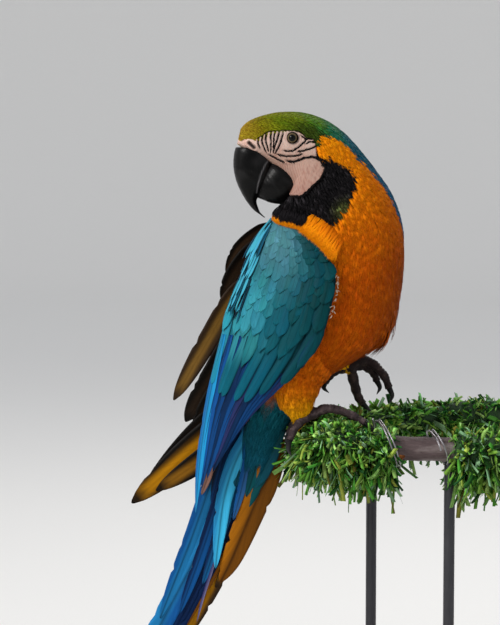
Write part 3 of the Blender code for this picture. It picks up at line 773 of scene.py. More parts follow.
# %% The nearest place of a form
def nearest_places(form, points, every=4):
    """The (a, t) of the grid point nearest to each point."""
    rows, columns = np.meshgrid(np.arange(0, form.rows, every), np.arange(0, form.columns, every),
                                indexing="ij")
    rows, columns = rows.ravel(), columns.ravel()
    found = nearest_in(search_tree(form.grid[rows, columns]), points)
    return columns[found] / form.columns, rows[found] / (form.rows - 1)


def coordinates(obj, of="co"):
    """The corners of an object in metres, or their normals, as an array."""
    found = np.zeros(len(obj.data.vertices) * 3, np.float32)
    obj.data.vertices.foreach_get(of, found)
    return found.reshape(-1, 3).astype(float)


# %% White face, dark rim and painted shade
FACE_HEIGHTS = [690, 712, 735, 750]
FACE_PAINTS = paints((152, 112, 100), (166, 130, 116), (168, 137, 123), (188, 160, 148))
spots = coordinates(SKIN) / MM
a, t = nearest_places(BODY, spots)
x, y, z = spots.T
white = ramp(z, FACE_HEIGHTS, FACE_PAINTS) * (1 + 0.35 * ease(-x, 98, 112))[:, None]
# Painted shade in the troughs of the cheek's folds.
creased = ease(cheek_folds(x, z), -0.35, -0.95) * ease(z, 733, 724) * ease(x, -86, -76)
creased = creased * (0.5 + 0.5 * ease(ripple(x, z, 4.0, 8.0), -0.5, 0.3))
white = white * (1 - creased[:, None] * np.array((0.26, 0.36, 0.38)))
white = mix(white, paint(30, 20, 20), mound(from_eye(x, z), 5.7, 0.55)[:, None])
# A painted shadow in the nostril's hole.
nostril = np.exp(-(distance_to(NOSTRIL, x, z) / 1.9) ** 4)
white = mix(white, paint(20, 14, 14), 0.97 * nostril[:, None])
for half, path in FACE_ROWS:
    under_row = np.exp(-(distance_to(path, x, z) / (0.8 * half)) ** 4)
    white = mix(white, paint(60, 40, 38), 0.7 * under_row[:, None])

# %% Plumage under the coat, and the bake map
colour = plumage(a, t, x, y, z)[0]
on_thigh = (np.abs(z - 500) < 42) & (t > 0.86)
colour = np.where(on_thigh[:, None], paint(214, 110, 10), colour)
bare = on_face(x, y, z, t) | (from_eye(x, z) < NEAR_EYE)
store(SKIN, "plumage", np.where(bare[:, None], white / np.array(SKIN_BASE), colour).clip(0, 1))
map_for_baking(SKIN, on_bake_map(a, t))
settle(SKIN, "feather_coat", "head", "neck", "trunk", "thigh_right", "thigh_left")

# %% [markdown]
# ## Feather patterns
# A small feather could be a flat card, but cards look like paper from the side. Here each
# one is a closed sliver with a raised shaft. The soft feathers of the neck and breast
# have loose barbs, so their pattern is a narrow vane with pointed strands that fan out
# past it. A pattern is drawn once, as shares of length and width, and then laid many
# times.


# %% Patterns of small feathers
class Pattern:
    """Corners of one feather: share along, share across, height in mm, and its faces."""

    def __init__(self, points, blocks, under=None):
        self.points = np.array(points, float)
        self.blocks = blocks
        self.along = np.clip(self.points[:, 0], 0, 1)
        half = np.abs(self.points[:, 1]).max()
        self.across = self.points[:, 1] / half
        self.under = np.zeros(len(self.points), bool) if under is None else under


def sliver(stations, halves, centres=None, thick=0.35):
    """A closed sliver with a ridge: stations along it, half widths, and where its middle runs."""
    centres = np.zeros(len(stations)) if centres is None else centres
    points = []
    for u, half, centre in zip(stations, halves, centres):
        points += [(u, centre - half, 0.0), (u, centre, thick * min(1.0, half * 6)), (u, centre + half, 0.0)]
    k = 3 * np.arange(len(stations) - 1)[:, None]
    quads = np.concatenate([k + [0, 3, 4, 1], k + [1, 4, 5, 2], k + [2, 5, 3, 0]])
    last = 3 * len(stations) - 3
    return Pattern(points, [quads, np.array([[0, 1, 2], [last, last + 2, last + 1]])])


def together(*patterns):
    points, quads, threes, start = [], [], [], 0
    for pattern in patterns:
        points.append(pattern.points)
        quads.append(pattern.blocks[0] + start)
        threes.append(pattern.blocks[1] + start)
        start += len(pattern.points)
    return Pattern(np.vstack(points), [np.vstack(quads), np.vstack(threes)])


def soft_pattern(strands, spread, vane=0.30):
    """A narrow vane and loose barbs that fan out beyond its tip."""
    parts = [sliver([0, 0.3, 0.6, 0.86], [0.14, vane, vane * 0.9, 0.04], thick=0.12)]
    for n in range(strands):
        q = (n + 0.5) / strands * 2 - 1
        tip = 1.02 - 0.20 * q * q + 0.07 * math.sin(5.1 * n + strands)
        parts.append(sliver([0.26 + 0.05 * (n % 2), 0.66, tip], [0.045, 0.045, 0.004],
                            [0.14 * q, 0.30 * q * spread, 0.46 * q * spread], 0.10))
    return together(*parts)


SCALE = sliver([0, 0.3, 0.62, 0.88, 1.0], [0.20, 0.44, 0.48, 0.30, 0.04])
BRISTLE = sliver([0, 0.35, 0.75, 1.0], [0.30, 0.42, 0.30, 0.03], thick=0.30)
STREAK = sliver([0, 0.25, 0.65, 1.0], [0.24, 0.44, 0.36, 0.03], thick=0.16)
SOFT = [soft_pattern(7, 0.9, 0.32), soft_pattern(8, 1.1, 0.28), soft_pattern(6, 0.8, 0.34)]
print("corners in a pattern:", len(SCALE.points), len(BRISTLE.points), [len(p.points) for p in SOFT])


# %% [markdown]
# ## Laying feathers
# A feather laid flat on a round body would stick out at its tip. So each corner is carried
# over the form by the steps of a and t that its move is worth there, and then raised: low
# at the root, which the feather above covers, and high at the tip.


# %% Corners of feathers that follow a form
def lay(form, a, t, heading, length, width, pattern, low, high, arch=0.0, power=1.0):
    """Corners of feathers rooted at (a, t), following the form, from a low root to a high tip."""
    out = form.at(a, t)[1]
    heading = unit(heading - out * dot(heading, out))
    side = np.cross(out, heading)
    u, v, h = pattern.points.T
    moves = heading[:, None] * (u * length[:, None])[..., None]
    moves = moves + side[:, None] * (v * width[:, None])[..., None]
    da, dt = form.steps(a, t, moves)
    point, normal = form.at(a[:, None] + da, t[:, None] + dt)
    low, high = np.broadcast_to(low, a.shape)[:, None], np.broadcast_to(high, a.shape)[:, None]
    rise = low + (high - low) * np.clip(u, 0, None) ** power + h - arch * width[:, None] * (2 * v) ** 2
    return point + normal * rise[..., None]


def splayed(form, a, t, heading, degrees):
    """The heading turned a little to either side, feather by feather."""
    out = form.at(a, t)[1]
    turn = np.radians(chance.normal(0, degrees, len(a)))[:, None]
    return heading * np.cos(turn) + np.cross(out, heading) * np.sin(turn)


# %% Gathering feathers into one mesh
class Coat:
    """Gathers feathers and makes one joined mesh of them."""

    def __init__(self):
        self.points, self.places, self.blocks, self.count = [], [], [[], []], 0
        self.layers = {"plumage": [], "along": [], "across": [], "seed": []}

    def add(self, points, pattern, colours, patch, seed=None, under=None, cell=(0.003, 0.003)):
        """Feathers (n, corners, 3) in their colours, each with its patch on the bake map."""
        n, corners = points.shape[:2]
        seed = chance.random(n) if seed is None else seed
        start = self.count + corners * np.arange(n)[:, None, None]
        for held, block in zip(self.blocks, pattern.blocks):
            held.append((start + block[None]).reshape(-1, block.shape[1]))
        colours = colours[:, None] if colours.ndim == 2 else colours
        colours = np.broadcast_to(colours, (n, corners, 3)).copy()
        if under is not None:
            colours[:, pattern.under] = under
        # The lower face has its own half of the patch.
        sides = np.where(pattern.under, 0.25, -0.25) + 0.22 * pattern.across
        place = np.stack([sides * cell[0], (pattern.along - 0.5) * 0.94 * cell[1]], -1)
        self.places.append((patch[:, None] + place[None]).reshape(-1, 2))
        self.points.append(points.reshape(-1, 3))
        self.layers["plumage"].append(colours.reshape(-1, 3))
        self.layers["along"].append(np.tile(pattern.along, n))
        self.layers["across"].append(np.tile(pattern.across, n))
        self.layers["seed"].append(np.repeat(seed, corners))
        self.count += n * corners

    def make(self, name, material, slot, *nodes):
        blocks = [np.concatenate(held) for held in self.blocks]
        obj = new_mesh_object(name, np.concatenate(self.points), blocks, material)
        for label, values in self.layers.items():
            store(obj, label, np.concatenate(values))
        map_for_baking(obj, np.concatenate(self.places))
        return settle(obj, slot, *nodes)


# %% Scattering roots
def scatter(form, gap, crowding=6.0):
    """Places set at random but evenly, as far apart as gap says on the form's grid; none where it is 0."""
    cells = np.linalg.norm(np.cross(form.by_a, form.by_t), axis=-1) / (form.rows - 1) / form.columns
    weight = np.where(gap > 0, cells / np.maximum(gap, 0.1) ** 2, 0.0)
    weight[-1] = 0.0
    count = int(weight.sum() * crowding)
    picked = chance.choice(weight.size, count, p=(weight / weight.sum()).ravel())
    i, j = np.divmod(picked, form.columns)
    a, t = (j + chance.random(count)) / form.columns, (i + chance.random(count)) / (form.rows - 1)
    points, gaps = form.at(a, t)[0], gap[i, j]
    tree, points = search_tree(points), points.tolist()
    taken, kept = np.zeros(count, bool), []
    for index in range(count):
        if not taken[index]:
            kept.append(index)
            for _, other, _ in tree.find_range(points[index], gaps[index]):
                taken[other] = True
    return a[kept], t[kept]


# %% [markdown]
# ## The coat of the body
# Feathers are smallest on the forehead and round the face and grow towards the belly.
# Their roots are scattered so that no two are closer than a set gap, which looks even but
# never lined up. Feathers that the folded wings hide are left out.

# %% Sizes of body feathers along the body
SIZE_RINGS = [0, 1, 2.5, 4, 6, 8, 10, 13, 16, 18]
FEATHER_LENGTH = [3.4, 4.4, 5.6, 7.5, 10, 13, 16, 19, 22, 26]
FEATHER_GAP = [1.05, 1.2, 1.45, 1.8, 2.3, 2.8, 3.3, 3.8, 4.2, 4.6]

# %% What the folded wings hide
# The near wing's rows from shoulder to tip: leading edge x, y, z; trailing edge x, y, z; bulge.
NEAR_WING_ROWS = [
    (-58, -42, 667, -86, -15, 675, 7), (-36, -56, 648, -101, -12, 653, 11),
    (-22, -62, 622, -114, -10, 622, 14), (-26, -65, 589, -128, -8, 584, 16),
    (-38, -64, 554, -137, -8, 549, 15), (-65, -59, 517, -146, -9, 512, 13),
    (-102, -46, 476, -154, -10, 470, 8), (-125, -35, 442, -160, -12, 427, 4),
    (-149, -25, 404, -164, -14, 377, 2),
]
# The far wing's rows: leading edge x, z; trailing edge x, z.
FAR_WING_ROWS = [(6, 668, -66, 676), (26, 640, -88, 658), (24, 605, -106, 634), (6, 568, -119, 606),
                 (-20, 532, -127, 572), (-52, 500, -132, 534)]


def beneath(rows, lead, trail, inset, x, z):
    """Which points a folded wing hides, seen from its side and drawn in by an inset."""
    rows = curve_through(rows, np.linspace(0, 1, 25))
    ends = [rows[:, list(lead)], rows[:, list(trail)]]
    middle = (ends[0] + ends[1]) / 2
    front, back = (mix(edge, middle, inset / np.linalg.norm(edge - middle, axis=1, keepdims=True).clip(inset))
                   for edge in ends)
    return inside([tuple(p) for p in front[1:]] + [tuple(p) for p in back[:0:-1]], x, z)


def hidden(x, y, z, t):
    near = (y < -6) & beneath(NEAR_WING_ROWS, (0, 2), (3, 5), 9.0, x, z)
    far = (y > 6) & beneath(FAR_WING_ROWS, (0, 1), (2, 3), 9.0, x, z)
    return (t > 0.4) & (near | far)


rows, columns = np.meshgrid(shares, turns, indexing="ij")
x, y, z = np.moveaxis(BODY.grid, -1, 0)
gap = 0.82 * np.interp(rows * LAST_RING, SIZE_RINGS, FEATHER_GAP)
in_bib = inside(BIB, x, z) & (rows < 0.5)
gap = np.where(in_bib, np.minimum(gap, 1.9), gap)
bare = (on_face(x, y, z, rows) | (from_eye(x, z) < NEAR_EYE)) & (np.abs(y) > 2)
gap = np.where(bare | hidden(x, y, z, rows), 0.0, gap)
a, t = scatter(BODY, gap)
print(len(a), "feathers on the body")

# %% [markdown]
# ## Each feather's colour, size and lie
# No two feathers of a bird are quite alike. Small chances change the length, the heading
# and the freshness of the colour. The feathers under the breast are looser than the rest,
# and a few of the bib's have a painted highlight, which keeps the black from looking like a
# hole.

# %% Colour, size and lie of each body feather
CROWN_ENDS = 0.42
x, y, z = BODY.at(a, t)[0].T
ring = t * LAST_RING
colour, stripe, bib = plumage(a, t, x, y, z)
length = np.interp(ring, SIZE_RINGS, FEATHER_LENGTH) * chance.uniform(0.85, 1.2, len(a))
length = np.where(bib, np.clip(length, 6, 9.5), length)
heading = unit(BODY.read(BODY.by_t, a, t))
depth = coat_depth(x, y, z, t)
heading = splayed(BODY, a, t, heading, 6.0)
freshness = 1 + 0.02 * chance.standard_normal(len(a)) + 0.08 * ripple(35 * a, 30 * t, 1.0, 6.0)
colour = colour * freshness[:, None]
# A painted highlight on a few feathers of the bib.
glints = bib & (chance.random(len(a)) < 0.14)
colour = colour * np.where(glints, 3.2, 1.0)[:, None]
stand = np.abs(chance.normal(0, 0.18, len(a))) * np.interp(ring, [0, 4, 8, 18], [0.25, 0.5, 0.8, 1.0])
length = np.where(stripe | bib, length, 1.25 * length)
length = np.where(stripe & (t < CROWN_ENDS), 1.5 * length, length)
# A few loose tufts stand off under the breast.
from_keel = np.abs(np.mod(a + 0.5, 1.0) - 0.5)
loose = chance.random(len(a)) ** 2 * np.exp(-((ring - 13.3) / 0.7) ** 2 - (from_keel / 0.07) ** 2)
stand += 10.0 * loose
length = length * (1 + 0.35 * loose)
print("feather lengths, mm:", length.min().round(1), "to", length.max().round(1))


# %% Six pieces of coat
def lay_coat(name, chosen, patterns, width_share, material):
    """One joined mesh of the chosen body feathers, with the patterns dealt out among them."""
    coat = Coat()
    deal = chance.integers(0, len(patterns), len(a))
    for number, pattern in enumerate(patterns):
        use = chosen & (deal == number)
        points = lay(BODY, a[use], t[use], heading[use], length[use], length[use] * width_share, pattern,
                     -depth[use] * 0.65, stand[use] - 0.1, arch=0.035, power=0.7)
        coat.add(points, pattern, colour[use].clip(0, 1), on_bake_map(a[use], t[use]))
    coat.make(name, material, "feather_coat")


CROWN_FEATHER = feather_material("crown_feather", barbs=26.0, slant=0.4, root=0.25, edge=0.16, spread=0.30,
                                 rough=0.55, relief=0.15, contrast=0.45)
SOFT_FEATHER = feather_material("soft_feather", barbs=24.0, slant=0.3, root=0.06, edge=0.10, spread=0.10,
                                rough=0.66, relief=0.10, contrast=0.22, shine=0.05)
# The bib's bright edges are a painted sheen.
BIB_FEATHER = feather_material("bib_feather", barbs=18.0, slant=0.3, root=0.30, edge=0.6, spread=0.9,
                               rough=0.50, relief=0.20, contrast=0.9)
front = ~stripe & ~bib
lay_coat("coat_crown", stripe & (t < CROWN_ENDS), [STREAK], 0.34, CROWN_FEATHER)
lay_coat("coat_back", stripe & (t >= CROWN_ENDS) & ~bib, [SCALE], 0.62, CROWN_FEATHER)
lay_coat("coat_bib", bib, [SOFT[0], SOFT[2]], 0.42, BIB_FEATHER)
for name, start, end in (("neck", 0.0, 0.5), ("breast", 0.5, 0.72), ("belly", 0.72, 1.01)):
    lay_coat("coat_" + name, front & (t >= start) & (t < end), SOFT, 0.42, SOFT_FEATHER)

# %% [markdown]
# ## The bare face
# A macaw's face is bare skin with a few rows of feathers no longer than a grain of rice.
# Each row follows a fold. The rows are drawn from the side and carried onto the skin by
# finding the nearest place of the body's grid, and the far side is a mirror of this one.

# %% Paths carried from the side onto the head
# The near half of the head, as rows and columns of the body's grid.
HEAD_ROWS, NEAR_COLUMNS = np.arange(312), np.arange(362, 718)
rows, columns = (grid.ravel() for grid in np.meshgrid(HEAD_ROWS, NEAR_COLUMNS, indexing="ij"))
SIDE_VIEW = search_tree(BODY.grid[rows, columns] * (1, 0, 1))
SIDE_A, SIDE_T = columns / BODY.columns, rows / (BODY.rows - 1)


def onto_head(path_points):
    """The places of the near side's skin that lie at x and z."""
    found = nearest_in(SIDE_VIEW, np.insert(path_points, 1, 0.0, axis=1))
    return SIDE_A[found], SIDE_T[found]


# %% Rows of tiny black feathers
def feather_row(coat, path, half, length, colour, step=0.62):
    """Small feathers in a line along a path on both sides of the head."""
    count = int(np.linalg.norm(np.diff(path, axis=0), axis=1).sum() / step * (1 + half))
    line = curve_through(path, (np.arange(count) + 0.5) / count)
    ahead = unit(np.gradient(line, axis=0))
    offset = chance.uniform(-0.75, 0.75, len(line))[:, None] * half
    spots = line + np.stack([-ahead[:, 1], ahead[:, 0]], -1) * offset
    a, t = onto_head(spots)
    for turn in (a, 1 - a):
        forward = splayed(BODY, turn, t, unit(np.stack([ahead[:, 0], 0 * a, ahead[:, 1]], -1)), 9.0)
        size = length * chance.uniform(0.8, 1.25, len(a))
        points = lay(BODY, turn, t, forward, size, 0.55 + 0.1 * size, BRISTLE, -0.9, 0.45, power=0.7)
        shade = np.clip(colour * chance.uniform(0.7, 1.5, (len(a), 1)), 0, 1)
        coat.add(points, BRISTLE, shade, on_bake_map(turn, t))


rows_coat = Coat()
for half, path in FACE_ROWS:
    feather_row(rows_coat, path, half, 2.0 + half, BLACK)
# A dark edge where the face meets the coat: over the eye and behind the cheek.
feather_row(rows_coat, FACE[2:10], 0.5, 2.6, paint(40, 44, 10))
feather_row(rows_coat, FACE[13:20], 0.9, 3.4, BLACK)
rows_coat.make("face_rows", BIB_FEATHER, "feather_coat")

# %% [markdown]
# ## Eyes
# The eye is a ball with a pale grey-brown iris round a large black pupil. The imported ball
# is right in size and depth, so the new one keeps both and adds a low cornea. Rings of
# colour are painted by distance from the pupil, which is stored on the mesh.

# %% Iris, pupil and cornea in one material
# Distance from the pupil's middle in mm, and the paint there.
EYE_RINGS = [(0.0, (2, 2, 2)), (3.0, (3, 3, 3)), (3.3, (40, 32, 22)), (3.7, (88, 76, 52)),
             (4.3, (100, 84, 60)), (4.7, (58, 44, 32)), (5.0, (16, 11, 9)), (6.6, (8, 5, 5))]
EYE_REACH = 8.0


def eye_material():
    material, nodes, shader = new_material("eye", Roughness=0.14, Specular_IOR_Level=0.05, Coat_Weight=0.18,
                                           Coat_Roughness=0.02)
    away, around = nodes.stored("along"), nodes.stored("across")
    rays = nodes.add("CombineXYZ", {"X": nodes.times(around, 60.0), "Y": nodes.times(away, 0.8)}).outputs[0]
    streaks = nodes.add("TexNoise", {"Vector": rays, "Scale": 1.0, "Detail": 3.0}).outputs[0]
    moved = nodes.plus(away, nodes.times(nodes.minus(streaks, 0.5), 0.5))
    rings = nodes.add("ValToRGB", {"Fac": nodes.math("DIVIDE", moved, EYE_REACH)})
    stops = rings.color_ramp.elements
    while len(stops) < len(EYE_RINGS):
        stops.new(0.5)
    for stop, (place, colour) in zip(stops, EYE_RINGS):
        stop.position = place / EYE_REACH
        stop.color = colour4(paint(*colour))
    nodes.feed(shader, {"Base Color": rings.outputs["Color"], "Normal": nodes.relief(streaks, 0.15, 0.1)})
    return material


EYE = eye_material()

# %% Eyeballs
SIDES = {"left": -1, "right": 1}
LATITUDES, MERIDIANS = np.linspace(0.004, np.pi - 0.004, 56), np.arange(72) * 2 * np.pi / 72
polar, spin = np.meshgrid(LATITUDES, MERIDIANS, indexing="ij")
for name, side in SIDES.items():
    gaze = unit(np.array((-0.10, side * 1.0, 0.02)))
    up = unit(np.cross(np.cross(gaze, (0, 0, 1)), gaze))
    beside = np.cross(gaze, up)
    arm = EYE_RADIUS * np.sin(polar)
    swell = EYE_RADIUS + 0.55 * (1 - ease(arm, 1.0, 5.2)) * (polar < 1.5)
    ball = (gaze * (swell * np.cos(polar))[..., None]
            + (up * np.cos(spin)[..., None] + beside * np.sin(spin)[..., None]) * arm[..., None])
    eye = closed_mesh("eyeball_" + name, ball + EYE_CENTRE * (1, side, 1), EYE)
    away = np.where(polar < np.pi / 2, arm, 2 * EYE_RADIUS)
    store(eye, "along", np.append(away.ravel(), (0.0, 14.0)))
    store(eye, "across", np.append(np.abs(spin / np.pi - 1).ravel(), (0.5, 0.5)))
    settle(eye, "eye", "eye_" + name)

# %% [markdown]
# ## Bill
# The bill is horn over bone, matt black, with a painted grey sheen along the culmen and a
# grey bloom where it is worn: at the tip and on the cutting edges. Each half is a loft
# through oval sections that tighten towards the tip, with faint growth rings across them.

# %% Horn
HORN_BASE, HORN_LIGHT, HORN_DARK = paints((5, 5, 5), (15, 14, 14), (2, 2, 2))
HORN_WEAR_AND_SHEEN = paint(104, 102, 104)


def horn_material(name, rough):
    """Near-black horn, grey where the mesh marks wear and, on the bill, a painted sheen."""
    material, nodes, shader = new_material(name, Specular_IOR_Level=0.10, Coat_Weight=0.04,
                                           Coat_Roughness=0.08)
    grain = place_grain(nodes, HORN_BASE, HORN_LIGHT, HORN_DARK, 700.0, 60.0, 0.6, (1.0, 1.0, 0.25))
    wear_and_sheen = nodes.times(nodes.stored("along"), nodes.plus(0.35, grain["Patch"]), clamp=True)
    nodes.feed(shader, {"Base Color": nodes.mixed(wear_and_sheen, grain["Colour"], colour4(HORN_WEAR_AND_SHEEN)),
                        "Roughness": nodes.between(grain["Patch"], rough - 0.08, rough + 0.16),
                        "Normal": nodes.relief(grain["Height"], 0.4, 0.12)})
    return material


HORN = horn_material("bill_horn", 0.27)

# %% The two halves of the bill
# Culmen x, z; cutting edge x, z; half width; centre y.
UPPER_BILL = [
    (-116, 755, -86, 742, 13, 0), (-124, 744, -86, 728, 14.8, 0),
    (-126.5, 732, -88, 716, 14.8, 0), (-126, 720, -93, 705, 13.4, 0),
    (-122.5, 707, -100, 697, 11.3, 0), (-116, 694, -103.5, 690, 8, 0),
    (-108, 683, -101, 681, 5, 0), (-100.5, 677, -97.5, 676.5, 2.4, 0),
    (-95.7, 673.6, -95, 674.4, 0.7, 0),
]
LOWER_BILL = [
    (-83, 731, -53, 702, 15, 0), (-92, 727, -57, 695, 16.6, 0),
    (-98, 717, -72, 688, 15.4, 0), (-101, 708, -87, 688, 11.8, 0),
    (-103, 701, -97, 691.5, 8, 0), (-104, 696, -102.5, 693.5, 3, 0),
]
# Where the halves meet, and the edge of the cere that the upper half sinks under.
BILL_SEAM = [(-90, 733.5), (-95, 727), (-99.5, 717), (-102, 708), (-103.5, 699)]
CERE_EDGE = [(-130, 744), (-115, 744), (-103, 740), (-95, 734.3), (-89.6, 728.7), (-84, 722)]


def bill_half(name, rows, power, node, edge_at):
    """A horn loft with growth rings, grey with wear and a painted sheen. Its root sinks under the cere."""
    along, around = np.linspace(0, 1, 140), np.arange(112) / 112
    form = Form(section_grid(rows, along, around, power))
    t, a = np.meshgrid(along, around, indexing="ij")
    point, out = form.grid, form.normal
    growth = 0.035 * np.sin(t * 95 + 2.0 * np.cos(2 * np.pi * a)) * ease(t, 0.02, 0.2)
    growth += 0.05 * ripple(t * 200, a * 60, 9.0, 5.0)
    from_edge = np.abs(np.mod(a - edge_at + 0.5, 1.0) - 0.5)
    lip = 0.35 * np.exp(-((from_edge - 0.055) / 0.018) ** 2) * ease(t, 0.05, 0.2) * ease(t, 0.85, 0.7)
    above = point[..., 2] - np.interp(point[..., 0], *zip(*CERE_EDGE))
    sunk = 4.5 * ease(above, -0.4, 1.4) * (name == "bill_upper_horn")
    obj = closed_mesh(name, point + out * (growth + lip - sunk)[..., None], HORN)
    # Along the culmen the grey is a painted sheen; by the seam it is wear.
    culmen = 0.30 * np.exp(-(np.minimum(a, 1 - a) / 0.085) ** 2) * ease(t, 0.02, 0.12) * ease(t, 0.75, 0.35)
    seam = mound(distance_to(BILL_SEAM, point[..., 0], point[..., 2]), 0.0, 0.55)
    wear_and_sheen = 0.6 * culmen + 0.9 * seam * ease(np.abs(point[..., 1]), 4, 8)
    wear_and_sheen += 0.05 * ease(ripple(t * 90, a * 70, 8.0, 2.0), 0.2, 0.9)
    store(obj, "along", np.append(wear_and_sheen.ravel(), (0.2, 0.2)).clip(0, 1))
    return settle(obj, "bill_horn", node)


bill_half("bill_upper_horn", UPPER_BILL, 2.2, "bill_upper", 0.5)
bill_half("bill_lower_horn", LOWER_BILL, 2.3, "bill_lower", 0.0)

# %% [markdown]
# ## Patterns of large feathers
# Coverts and flight feathers are broad enough to see as sheets, so each is a thin closed
# vane: a grid for the upper face, one for the lower face, and a rim between. The shaft is
# a low ridge, the edges droop, and a notch or two shows where the barbs have parted. The
# two faces keep colours of their own, because a macaw is blue above and golden below.

# %% Vanes with two faces
def rounded(u):
    """Half width of a covert at a share of its length."""
    root = 0.45 + 0.55 * np.minimum(1.0, u / 0.3)
    return root * np.sqrt(np.clip(1 - np.clip((u - 0.62) / 0.39, 0, 1) ** 2.2, 0.02, 1))


def tapered(u):
    """Half width of a long flight feather."""
    root = 0.42 + 0.58 * np.minimum(1.0, u / 0.35)
    return root * np.clip(1 - np.clip((u - 0.55) / 0.46, 0, 1) ** 2.4, 0.03, 1) ** 0.6


def blunt(u):
    """Half width of a long covert: even nearly to the tip, which is round."""
    root = 0.55 + 0.45 * np.minimum(1.0, u / 0.3)
    return root * np.sqrt(np.clip(1 - np.clip((u - 0.88) / 0.122, 0, 1) ** 2, 0.02, 1))


VANE_THICK = 0.28


def vane_pattern(steps, columns, shape, seed, notches=2, depth=0.22, ridge=0.45, round_tip=0.05, crowd=1.0):
    """A two-faced vane with its shaft, and notches cut where the seed puts them."""
    dice = np.random.default_rng(seed)
    u, q = 1 - (1 - np.linspace(0, 1, steps)) ** crowd, np.linspace(-1, 1, columns)
    half = np.repeat(0.5 * shape(u)[:, None], columns, 1)
    for _ in range(notches):
        place, edge = dice.integers(steps // 3, steps - 1), dice.integers(0, 2)
        half[place, -1 if edge else 0] *= 1 - depth * dice.uniform(0.5, 1.3)
    top = np.stack([u[:, None] - round_tip * u[:, None] ** 2 * q**2 + 0 * half, half * q,
                    ridge * np.exp(-(q / 0.16) ** 2) * (1 - 0.8 * u[:, None]) + 0 * half], -1)
    low = top - (0, 0, VANE_THICK)
    low[..., 2] -= top[..., 2] * 0.7
    up = grid_faces(steps, columns, False)[:, ::-1]
    rim = [i * columns for i in range(steps)] + [(steps - 1) * columns + j for j in range(1, columns)]
    rim += [i * columns + columns - 1 for i in range(steps - 2, -1, -1)] + list(range(columns - 2, 0, -1))
    rim, size = np.array(rim), steps * columns
    ahead = np.roll(rim, -1)
    quads = np.concatenate([up, up[:, ::-1] + size, np.stack([rim, rim + size, ahead + size, ahead], -1)])
    under = np.arange(2 * size) >= size
    return Pattern(np.vstack([top.reshape(-1, 3), low.reshape(-1, 3)]), [quads, np.zeros((0, 3), int)], under)


def vanes(seeds, *sizes, **shape):
    return [vane_pattern(*sizes, seed, **shape) for seed in seeds]


COVERTS = vanes(range(5), 10, 7, rounded)
GREATER = vanes(range(5), 22, 9, blunt, notches=1, depth=0.12, round_tip=0.01, crowd=1.7)
QUILLS = vanes(range(4), 34, 9, tapered, notches=3, depth=0.16, ridge=0.7, round_tip=0.012)
ROUND_QUILLS = vanes(range(40, 43), 30, 9, rounded, depth=0.14, ridge=0.7, round_tip=0.02, crowd=1.3)
print("corners in a vane:", len(COVERTS[0].points), len(QUILLS[0].points))


# %% A coat of broad feathers
class VaneCoat(Coat):
    """A coat of broad feathers, each with a cell of its own on the bake map."""

    def __init__(self, count, columns=16):
        super().__init__()
        rows = math.ceil(count / columns)
        index = np.arange(count)
        self.cells = iter(np.stack([(index % columns + 0.5) / columns, (index // columns + 0.5) / rows], -1))
        self.cell = (0.92 / columns, 0.92 / rows)

    def put(self, points, pattern, colours, under, **others):
        """One feather, with the colours of its upper face and of its underside."""
        self.add(points, pattern, colours[None].clip(0, 1), next(self.cells)[None], under=under,
                 cell=self.cell, **others)


# %% [markdown]
# ## The near wing
# The folded wing is a sheet with a bulge, from shoulder to tip. Its feathers lie in
# courses like roof tiles: small scale-like coverts at the shoulder, then two courses of
# median coverts, then the long greater coverts, and under them the blue flight feathers.
# Laying course by course from the tip upwards puts every root under the course above.

# %% The sheet of the near wing
NEAR_OUT = np.array((-0.5, -0.866, 0.0))
HEART = (-60.0, 0.0, 590.0)


def wing_sheet(rows, out, along=121, across=61):
    table = curve_through(rows, np.linspace(0, 1, along))[:, None]
    s = np.linspace(0, 1, across)[None, :, None]
    return mix(table[..., :3], table[..., 3:6], s) + out * (table[..., 6:7] * 4 * s * (1 - s))


NEAR_WING = Form(wing_sheet(NEAR_WING_ROWS, NEAR_OUT), closed=False, outward=HEART)


# %% Paint of the near wing's coverts
# Each patch of colour: its paint, its strength, and the steps along s and t that it comes in by.
NEAR_PATCHES = [((76, 134, 146), 1.0, [("t", 0.40, 0.08), ("s", 0.2, 0.5)]),
                ((50, 142, 156), 1.0, [("t", 0.18, 0.36), ("t", 0.66, 0.50), ("s", 0.45, 0.75)]),
                ((2, 92, 112), 1.0, [("t", 0.50, 0.60)]),
                ((36, 146, 174), 0.6, [("s", 0.80, 0.99)]),
                ((0, 60, 66), 0.9, [("s", 0.46, 0.14)]),
                ((4, 56, 88), 1.0, [("s", 0.10, 0.01), ("t", 0.30, 0.48)])]


def near_paint(s, t):
    """Grey teal on the bulge, cyan behind, dark teal in front."""
    colour = paint(8, 90, 104)
    for shade, strength, steps in NEAR_PATCHES:
        for axis, low, high in steps:
            strength = strength * ease(s if axis == "s" else t, low, high)
        colour = mix(colour, paint(*shade), strength[..., None])
    return colour


print("teal of the bulge, linear:", near_paint(np.array(0.5), np.array(0.1)).round(3))


# %% Courses of coverts, laid like tiles
def course(form, tips, count, length, width, between=(0.02, 0.98), drift=0.012, uneven=0.12, splay=5.0):
    """Roots, headings and sizes of one course whose tips lie at a t for each s."""
    s = np.linspace(*between, count) + chance.normal(0, 0.14 / count, count)
    t_tip = np.interp(s, *zip(*tips)) + chance.normal(0, drift, count)
    size = length * chance.uniform(1 - uneven, 1 + uneven, count)

    def pace(t):
        return np.linalg.norm(form.read(form.by_t, s, t), axis=-1)

    t_root = np.maximum(t_tip - size / pace(t_tip - 0.5 * size / pace(t_tip)), -0.04)
    size = (t_tip - t_root) * pace(t_root)
    heading = splayed(form, s, t_root, unit(form.read(form.by_t, s, t_root)), splay)
    return s, t_tip, t_root, heading, size, width * chance.uniform(0.9, 1.12, count)


